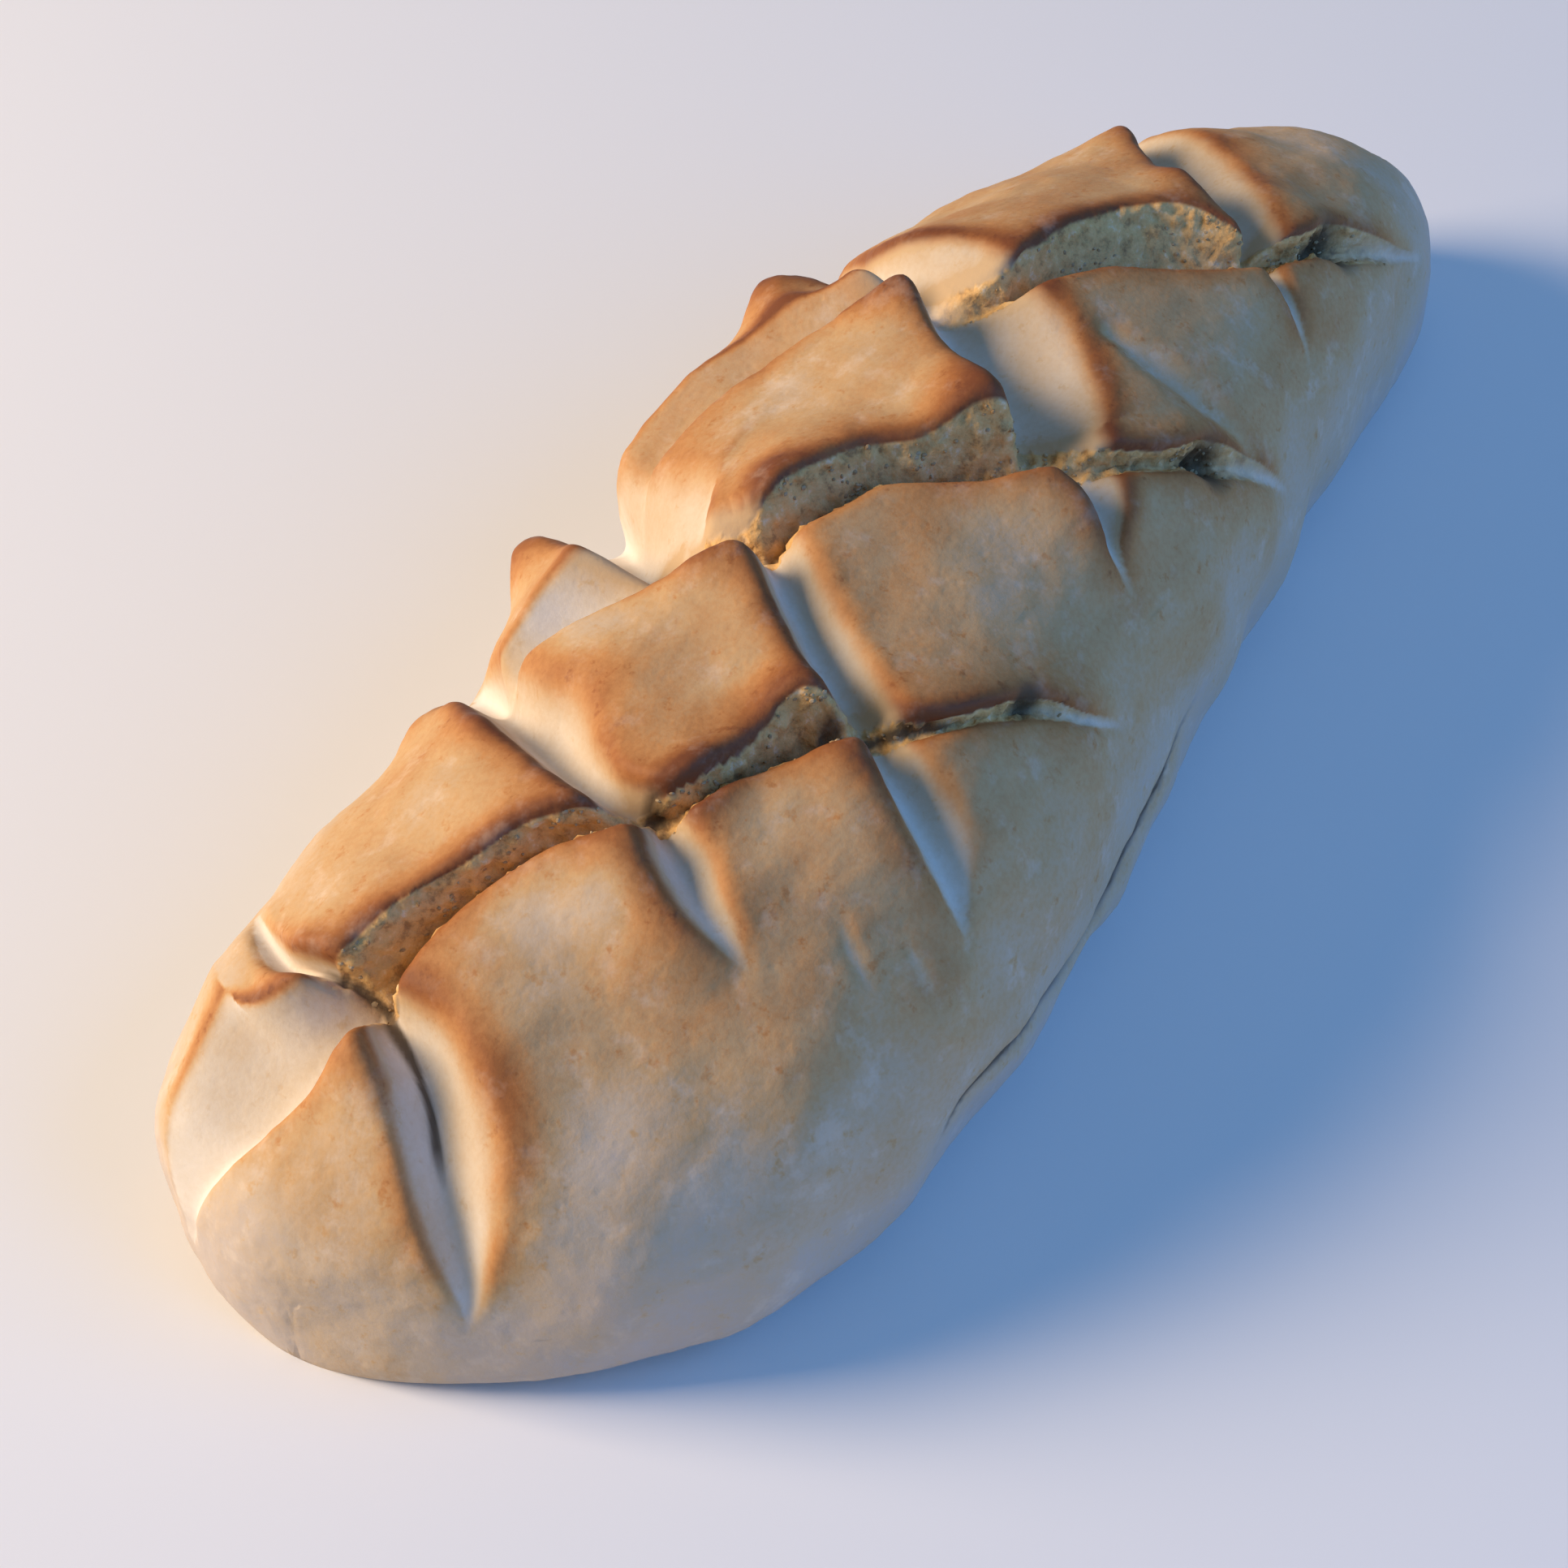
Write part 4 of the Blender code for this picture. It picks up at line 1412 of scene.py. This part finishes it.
@dataclass
class Crust:
    """The loaf's whole skin: slashed, baked, browned and roughened."""

    name: str = "loaf_crust"
    sizes: DoughSizes = field(default_factory=DoughSizes)
    finish: CrustFinish = field(default_factory=CrustFinish)
    steps_along: int = 760
    steps_around: int = 660
    softenings: int = 8
    triangles: int = 196000
    bake_and_shade: BakeAndPaintedShade = field(default_factory=BakeAndPaintedShade)
    blister_size: float = 4.2 * MM
    blister_height: float = 0.28 * MM
    wrinkle_size: float = 11.0 * MM
    wrinkle_height: float = 0.45 * MM
    torn_size: float = 2.3 * MM
    torn_height: float = 2.0 * MM
    relief_on_dough: float = 0.35
    smooth_below: Span = (0.5 * MM, 6 * MM)
    lumps_from: float = 12 * MM
    moved: np.ndarray = field(init=False)

    def rings(self) -> tuple[np.ndarray, dict[Mask, np.ndarray]]:
        """Shapes the skin and works out what its finish needs.

        Returns:
            The rings of points and the value of each mask at each point.
        """
        shape = (self.steps_along, self.steps_around)
        skin = Skin.of(self.sizes, *shape)
        points, normals = skin.points.reshape(-1, 3), skin.normals.reshape(-1, 3)
        relief = Relief(len(points))
        for slash in (*CROSS_SLASHES, *LONG_SLASHES, *FOLDS):
            relief.open(slash, skin, points)
        relief.raise_peaks(skin, points)
        closed = 1 - relief.opened
        above_heel = np.clip(points[:, 2] / self.lumps_from, 0, 1)
        lumps = self.waves(points, self.sizes.lump_seed, self.sizes.lumps) * MM
        height = relief.lift * closed - relief.depth + lumps * above_heel
        moved = points + normals * height[:, None] + relief.lean * (closed**2)[:, None]
        rings = softened(moved.reshape(*shape, 3), self.softenings)
        return rings, self.masks(relief, height.reshape(shape), points)

    def waves(self, points: np.ndarray, seed: int, sizes: tuple[tuple[float, float], ...]) -> np.ndarray:
        """Soft unevenness as a sum of seeded waves.

        Args:
            points: The points of the skin.
            seed: The seed of the waves' ways and phases.
            sizes: Wavelengths in millimetres, and how strong each is.

        Returns:
            The sum at each point.
        """
        random = np.random.default_rng(seed)
        count = self.sizes.waves_per_lump
        total = np.zeros(len(points))
        for wavelength, size in sizes:
            for _ in range(count):
                way = random.normal(size=3)
                way *= 2 * math.pi / (wavelength * MM * np.linalg.norm(way))
                total += size / math.sqrt(count) * np.sin(points @ way + random.uniform(0, 2 * math.pi))
        return total

    def masks(self, relief: Relief, height: np.ndarray, points: np.ndarray) -> dict[Mask, np.ndarray]:
        """Works out browning, bare dough, torn dough, and the shade painted into hollows, cracks and pits.

        Args:
            relief: What was done to the skin.
            height: The height of each point over the unslashed skin, in rings.
            points: The points of the unslashed skin.

        Returns:
            A value from 0 to 1 for each point and mask, in rings.
        """
        bake_and_shade, shape = self.bake_and_shade, height.shape
        level = points[:, 2].reshape(shape)
        uneven = self.waves(points, bake_and_shade.seed, bake_and_shade.waves).reshape(shape)
        uneven = np.clip(bake_and_shade.evenness + uneven, *bake_and_shade.uneven_range)
        step = 2 * self.sizes.length / self.steps_along
        over = [height - blurred(height, int(reach / step)) for reach in bake_and_shade.proud_reaches]
        heights = zip(over, bake_and_shade.proud_heights, bake_and_shade.proud_bakes)
        proud = sum(np.clip(rise / full, -1, 1) * bake for rise, full, bake in heights)
        low = np.clip((level - bake_and_shade.pale_level) / bake_and_shade.level_range, 0, 1)
        bake = bake_and_shade.least + bake_and_shade.by_level * low + proud + relief.brown.reshape(shape) * uneven
        torn = relief.torn.reshape(shape)
        # Painted shade: deep, hollowed torn places and the cracks and pits are painted dark.
        sunk = np.clip((-height - bake_and_shade.hollow_from) / bake_and_shade.hollow_range, 0, 1)
        hollow = sunk * np.clip(-over[0] / bake_and_shade.hollow_sunk, 0, 1) * torn * bake_and_shade.hollow_painted_shade
        return {
            Mask.BAKE: np.clip(bake, 0, 1),
            Mask.CRUMB: relief.bare.reshape(shape),
            Mask.TORN: torn,
            Mask.HOLLOW: np.maximum(hollow, relief.dark.reshape(shape) * bake_and_shade.crack_painted_shade),
        }

    def mesh(self, rings: np.ndarray, masks: dict[Mask, np.ndarray]) -> bpy.types.Mesh:
        """Closes the rings into a mesh that carries the masks.

        Args:
            rings: Rings of points.
            masks: The masks in rings.

        Returns:
            The mesh.
        """
        along, around = rings.shape[:2]
        index = np.arange(along * around).reshape(along, around)
        turned = np.roll(index, -1, axis=1)
        quads = np.stack([index[:-1], turned[:-1], turned[1:], index[1:]], axis=-1).reshape(-1, 4)
        near_tip, far_tip = along * around, along * around + 1
        fans = [(near_tip, b, a) for a, b in zip(index[0].tolist(), turned[0].tolist())]
        fans += [(far_tip, a, b) for a, b in zip(index[-1].tolist(), turned[-1].tolist())]
        tips = rings[[0, -1]].mean(axis=1)
        mesh = bpy.data.meshes.new(self.name)
        mesh.from_pydata(np.vstack([rings.reshape(-1, 3), tips]), [], quads.tolist() + fans)
        for mask, values in masks.items():
            ends = values[[0, -1]].mean(axis=1)
            layer = mesh.attributes.new(mask.value, "FLOAT", "POINT")
            layer.data.foreach_set("value", np.concatenate([values.ravel(), ends]).astype(np.float32))
        return mesh

    def fitted(self, rings: np.ndarray) -> np.ndarray:
        """Flattens the heel and puts the rings in the solid's box.

        Args:
            rings: Rings of points.

        Returns:
            The rings in the frame's place.
        """
        floor = rings[:, :, 2].min() + self.sizes.heel_depth
        rings[:, :, 2] = np.maximum(rings[:, :, 2], floor)
        low, high = (np.array(corner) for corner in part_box("loaf"))
        ours_low, ours_high = rings.min(axis=(0, 1)), rings.max(axis=(0, 1))
        inset = self.blister_height + self.wrinkle_height / 2
        room = (high - low) - np.array([2, 2, 1]) * inset
        scale = np.minimum(1.0, room / (ours_high - ours_low))
        middle = (low + high) / 2
        fitted = (rings - (ours_low + ours_high) / 2) * scale + middle
        fitted[:, :, 2] += low[2] - fitted[:, :, 2].min()
        self.moved = middle - (ours_low + ours_high) / 2
        return fitted

    def thinned(self, obj: bpy.types.Object) -> None:
        """Leaves as many triangles as the piece may have, most where the skin bends most."""
        faces = sum(len(p.vertices) - 2 for p in obj.data.polygons)
        thin = obj.modifiers.new("thin", "DECIMATE")
        thin.ratio = self.triangles / faces
        thin.use_collapse_triangulate = True
        mesh = plain_mesh(obj)
        obj.modifiers.remove(thin)
        obj.data = mesh

    def roughened(self, obj: bpy.types.Object, material: bpy.types.Material) -> bpy.types.Mesh:
        """Raises blisters, wrinkles and torn crumb on the skin with Geometry Nodes.

        Args:
            obj: The thinned skin.
            material: The material that the tree sets.

        Returns:
            The roughened mesh.
        """
        recipe = GeometryRecipe(
            "crust_relief",
            {
                "Blister Size": self.blister_size,
                "Blister Height": self.blister_height,
                "Wrinkle Size": self.wrinkle_size,
                "Wrinkle Height": self.wrinkle_height,
                "Torn Size": self.torn_size,
                "Torn Height": self.torn_height,
            },
        )
        tree, start, out = recipe.new_tree()
        place = tree.add("GeometryNodeInputPosition").outputs[0]
        masks = {}
        for mask in (Mask.CRUMB, Mask.TORN):
            named = tree.add("GeometryNodeInputNamedAttribute", data_type="FLOAT")
            named.inputs["Name"].default_value = mask.value
            masks[mask] = named.outputs[0]
        parts = []
        for kind in ("Blister", "Wrinkle", "Torn"):
            scale = tree.math("DIVIDE", 1.0, start.outputs[f"{kind} Size"])
            wave = tree.math("SUBTRACT", tree.noise(place, scale, 1.0), 0.5)
            swing = tree.math("MULTIPLY", start.outputs[f"{kind} Height"], 2.0)
            parts.append(tree.math("MULTIPLY", wave, swing))
        blister, wrinkle, torn = parts
        whole = tree.math("SUBTRACT", 1.0, masks[Mask.CRUMB], clamp=True)
        on_crust = tree.ranged(whole, (0, 1), self.relief_on_dough, 1.0)
        crusty = tree.math("MULTIPLY", tree.math("ADD", blister, wrinkle), on_crust)
        height = tree.math("ADD", crusty, tree.math("MULTIPLY", torn, masks[Mask.TORN]))
        level = tree.add("ShaderNodeSeparateXYZ")
        tree.feed(level.inputs[0], place)
        height = tree.math("MULTIPLY", height, tree.ranged(level.outputs[2], self.smooth_below))
        push = tree.add("ShaderNodeVectorMath", operation="SCALE")
        tree.feed(push.inputs[0], tree.add("GeometryNodeInputNormal").outputs[0])
        tree.feed(push.inputs["Scale"], height)
        move = tree.add("GeometryNodeSetPosition")
        tree.feed(move.inputs["Geometry"], start.outputs["Geometry"])
        tree.feed(move.inputs["Offset"], push.outputs[0])
        recipe.end(tree, move.outputs[0], out, material)
        return recipe.run(tree, obj)

    def build(self) -> bpy.types.Object:
        """Builds and dresses the skin.

        Returns:
            The finished piece.
        """
        rings, masks = self.rings()
        mesh = self.mesh(self.fitted(rings), masks)
        obj = shown(self.name, mesh)
        self.thinned(obj)
        material = self.finish.material()
        mesh = self.roughened(obj, material)
        obj.data = mesh
        for face in mesh.polygons:
            face.use_smooth = True
        self.face_outwards(mesh)
        LOG.info("%s: %d triangles", self.name, sum(len(p.vertices) - 2 for p in mesh.polygons))
        return obj

    @staticmethod
    def face_outwards(mesh: bpy.types.Mesh) -> None:
        """Turns every face of a closed mesh outwards."""
        work = bmesh.new()
        work.from_mesh(mesh)
        bmesh.ops.recalc_face_normals(work, faces=work.faces)
        work.to_mesh(mesh)
        work.free()


@dataclass
class Crumbs:
    """Small dry crumbs that cling to the torn walls of the slashes."""

    name: str = "torn_crumbs"
    finish: FlakeFinish = field(default_factory=FlakeFinish)
    crumb_size: float = 0.65 * MM
    per_square_metre: float = 300000.0
    seed: int = 5
    torn_edge: Span = (0.35, 0.9)
    clusters: Patches = Patches(160.0, 2.0, 0.5, (0.45, 0.65))
    smallest: tuple[float, float, float] = (0.35, 0.35, 0.25)
    largest: tuple[float, float, float] = (1.0, 0.8, 0.7)

    def build(self, crust: bpy.types.Object) -> bpy.types.Object:
        """Scatters crumbs over the crust's torn places with Geometry Nodes.

        Args:
            crust: The finished crust, which carries the mask of torn dough.

        Returns:
            The finished piece.
        """
        inputs = {"Density": self.per_square_metre, "Crumb Size": self.crumb_size, "Seed": self.seed}
        recipe = GeometryRecipe("scatter_crumbs", inputs)
        tree, start, out = recipe.new_tree()
        torn = tree.add("GeometryNodeInputNamedAttribute", data_type="FLOAT")
        torn.inputs["Name"].default_value = Mask.TORN.value
        clusters = tree.patchy(tree.add("GeometryNodeInputPosition").outputs[0], self.clusters)
        where = tree.math("MULTIPLY", tree.ranged(torn.outputs[0], self.torn_edge), clusters)
        spread = tree.add("GeometryNodeDistributePointsOnFaces", distribute_method="RANDOM")
        tree.feed(spread.inputs["Mesh"], start.outputs["Geometry"])
        tree.feed(spread.inputs["Density"], tree.math("MULTIPLY", start.outputs["Density"], where))
        tree.feed(spread.inputs["Seed"], start.outputs["Seed"])
        ball = tree.add("GeometryNodeMeshIcoSphere")
        ball.inputs["Subdivisions"].default_value = 1
        tree.feed(ball.inputs["Radius"], start.outputs["Crumb Size"])
        grow = tree.add("FunctionNodeRandomValue", data_type="FLOAT_VECTOR")
        grow.inputs[0].default_value = self.smallest
        grow.inputs[1].default_value = self.largest
        tree.feed(grow.inputs["Seed"], start.outputs["Seed"])
        place = tree.add("GeometryNodeInstanceOnPoints")
        tree.feed(place.inputs["Points"], spread.outputs["Points"])
        tree.feed(place.inputs["Instance"], ball.outputs["Mesh"])
        tree.feed(place.inputs["Rotation"], spread.outputs["Rotation"])
        tree.feed(place.inputs["Scale"], grow.outputs[0])
        recipe.end(tree, place.outputs[0], out, self.finish.material())
        obj = shown(self.name, recipe.run(tree, crust))
        LOG.info("%s: %d triangles", self.name, sum(len(p.vertices) - 2 for p in obj.data.polygons))
        return obj


@dataclass
class Loaf:
    """The loaf: its crust and the crumbs in its slashes."""

    crust: Crust = field(default_factory=Crust)
    crumbs: Crumbs = field(default_factory=Crumbs)

    def build(self) -> None:
        """Builds both pieces and ties them to the frame."""
        crust = self.crust.build()
        crumbs = self.crumbs.build(crust)
        for piece in (crust, crumbs):
            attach(piece, "root")
        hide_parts("loaf")


@dataclass(frozen=True)
class Lamp:
    """A soft area light that looks at the loaf."""

    name: str
    place: tuple[float, float, float]
    size: float
    power: float
    colour: Colour
    aim: tuple[float, float, float] = (0.0, 0.0, 30 * MM)

    def build(self) -> None:
        """Makes the light."""
        light = bpy.data.lights.new(self.name, "AREA")
        light.size, light.energy, light.color = self.size, self.power, self.colour
        obj = bpy.data.objects.new(self.name, light)
        bpy.context.scene.collection.objects.link(obj)
        obj.location = self.place
        obj.rotation_euler = (Vector(self.aim) - obj.location).to_track_quat("-Z", "Y").to_euler()


@dataclass
class Studio:
    """A pale floor, soft lights and the camera at the photo's viewing angle."""

    floor_size: float = 6.0
    floor_colour: Colour = (0.80, 0.79, 0.77)
    cloud_colour: Colour = (1.0, 1.0, 1.0)
    cloud_scale: float = 3.0
    cloud_strength: float = 0.06
    floor_roughness: float = 0.9
    world_colour: Colour = (0.44, 0.68, 1.0)
    world_strength: float = 0.28
    azimuth: float = -56.58
    elevation: float = 46.0
    distance: float = 620 * MM
    target: tuple[float, float, float] = (-45.36 * MM, -3.72 * MM, 25.0 * MM)
    focal_pixels: float = 4377.7
    picture_pixels: float = 1932.0
    sensor: float = 36.0
    clip_start: float = 10 * MM
    lamps: tuple[Lamp, ...] = (
        Lamp("key", (-0.82, 1.2, 0.8), 0.8, 40.0, (1.0, 0.79, 0.58)),
        Lamp("fill", (0.3, -1.3, 0.9), 1.4, 16.0, (0.10, 0.36, 1.0)),
    )

    def build(self, moved: np.ndarray) -> None:
        """Sets up the studio.

        Args:
            moved: How far the loaf was moved from the place that the camera's target is given for.
        """
        self.floor()
        for lamp in self.lamps:
            lamp.build()
        world = bpy.data.worlds.new("studio")
        world.use_nodes = True
        background = world.node_tree.nodes["Background"]
        background.inputs["Color"].default_value = (*self.world_colour, 1.0)
        background.inputs["Strength"].default_value = self.world_strength
        bpy.context.scene.world = world
        bpy.context.scene.view_settings.view_transform = "Standard"
        self.camera(moved)

    def floor(self) -> None:
        """Makes the floor."""
        half = self.floor_size / 2
        corners = [(-half, -half, 0), (half, -half, 0), (half, half, 0), (-half, half, 0)]
        mesh = bpy.data.meshes.new("floor")
        mesh.from_pydata(corners, [], [(0, 1, 2, 3)])
        material = bpy.data.materials.new("pale_floor")
        material.use_nodes = True
        tree = Tree(material.node_tree)
        shader = material.node_tree.nodes["Principled BSDF"]
        cloud = tree.noise(tree.add("ShaderNodeTexCoord").outputs["Object"], self.cloud_scale)
        cloudy = tree.math("MULTIPLY", cloud, self.cloud_strength)
        tree.feed(shader.inputs["Base Color"], tree.mixed(cloudy, self.floor_colour, self.cloud_colour))
        shader.inputs["Roughness"].default_value = self.floor_roughness
        mesh.materials.append(material)
        floor = shown("floor", mesh)

    def camera(self, moved: np.ndarray) -> None:
        """Places the camera.

        Args:
            moved: How far the loaf was moved.
        """
        azimuth, elevation = math.radians(self.azimuth), math.radians(self.elevation)
        level = math.cos(elevation)
        back = Vector((math.sin(azimuth) * level, -math.cos(azimuth) * level, math.sin(elevation)))
        lens = bpy.data.cameras.new("camera")
        lens.sensor_width = self.sensor
        lens.lens = self.focal_pixels / self.picture_pixels * self.sensor
        lens.clip_start = self.clip_start
        camera = bpy.data.objects.new("camera", lens)
        bpy.context.scene.collection.objects.link(camera)
        camera.location = Vector(self.target) + Vector(moved) + back * self.distance
        camera.rotation_euler = (-back).to_track_quat("-Z", "Y").to_euler()
        bpy.context.scene.camera = camera


def main() -> None:
    """Builds the loaf and the studio."""
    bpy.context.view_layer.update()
    loaf = Loaf()
    loaf.build()
    Studio().build(loaf.crust.moved)
    LOG.info("sizes written")


if __name__ == "__main__":
    logging.basicConfig(level=logging.INFO)
    main()
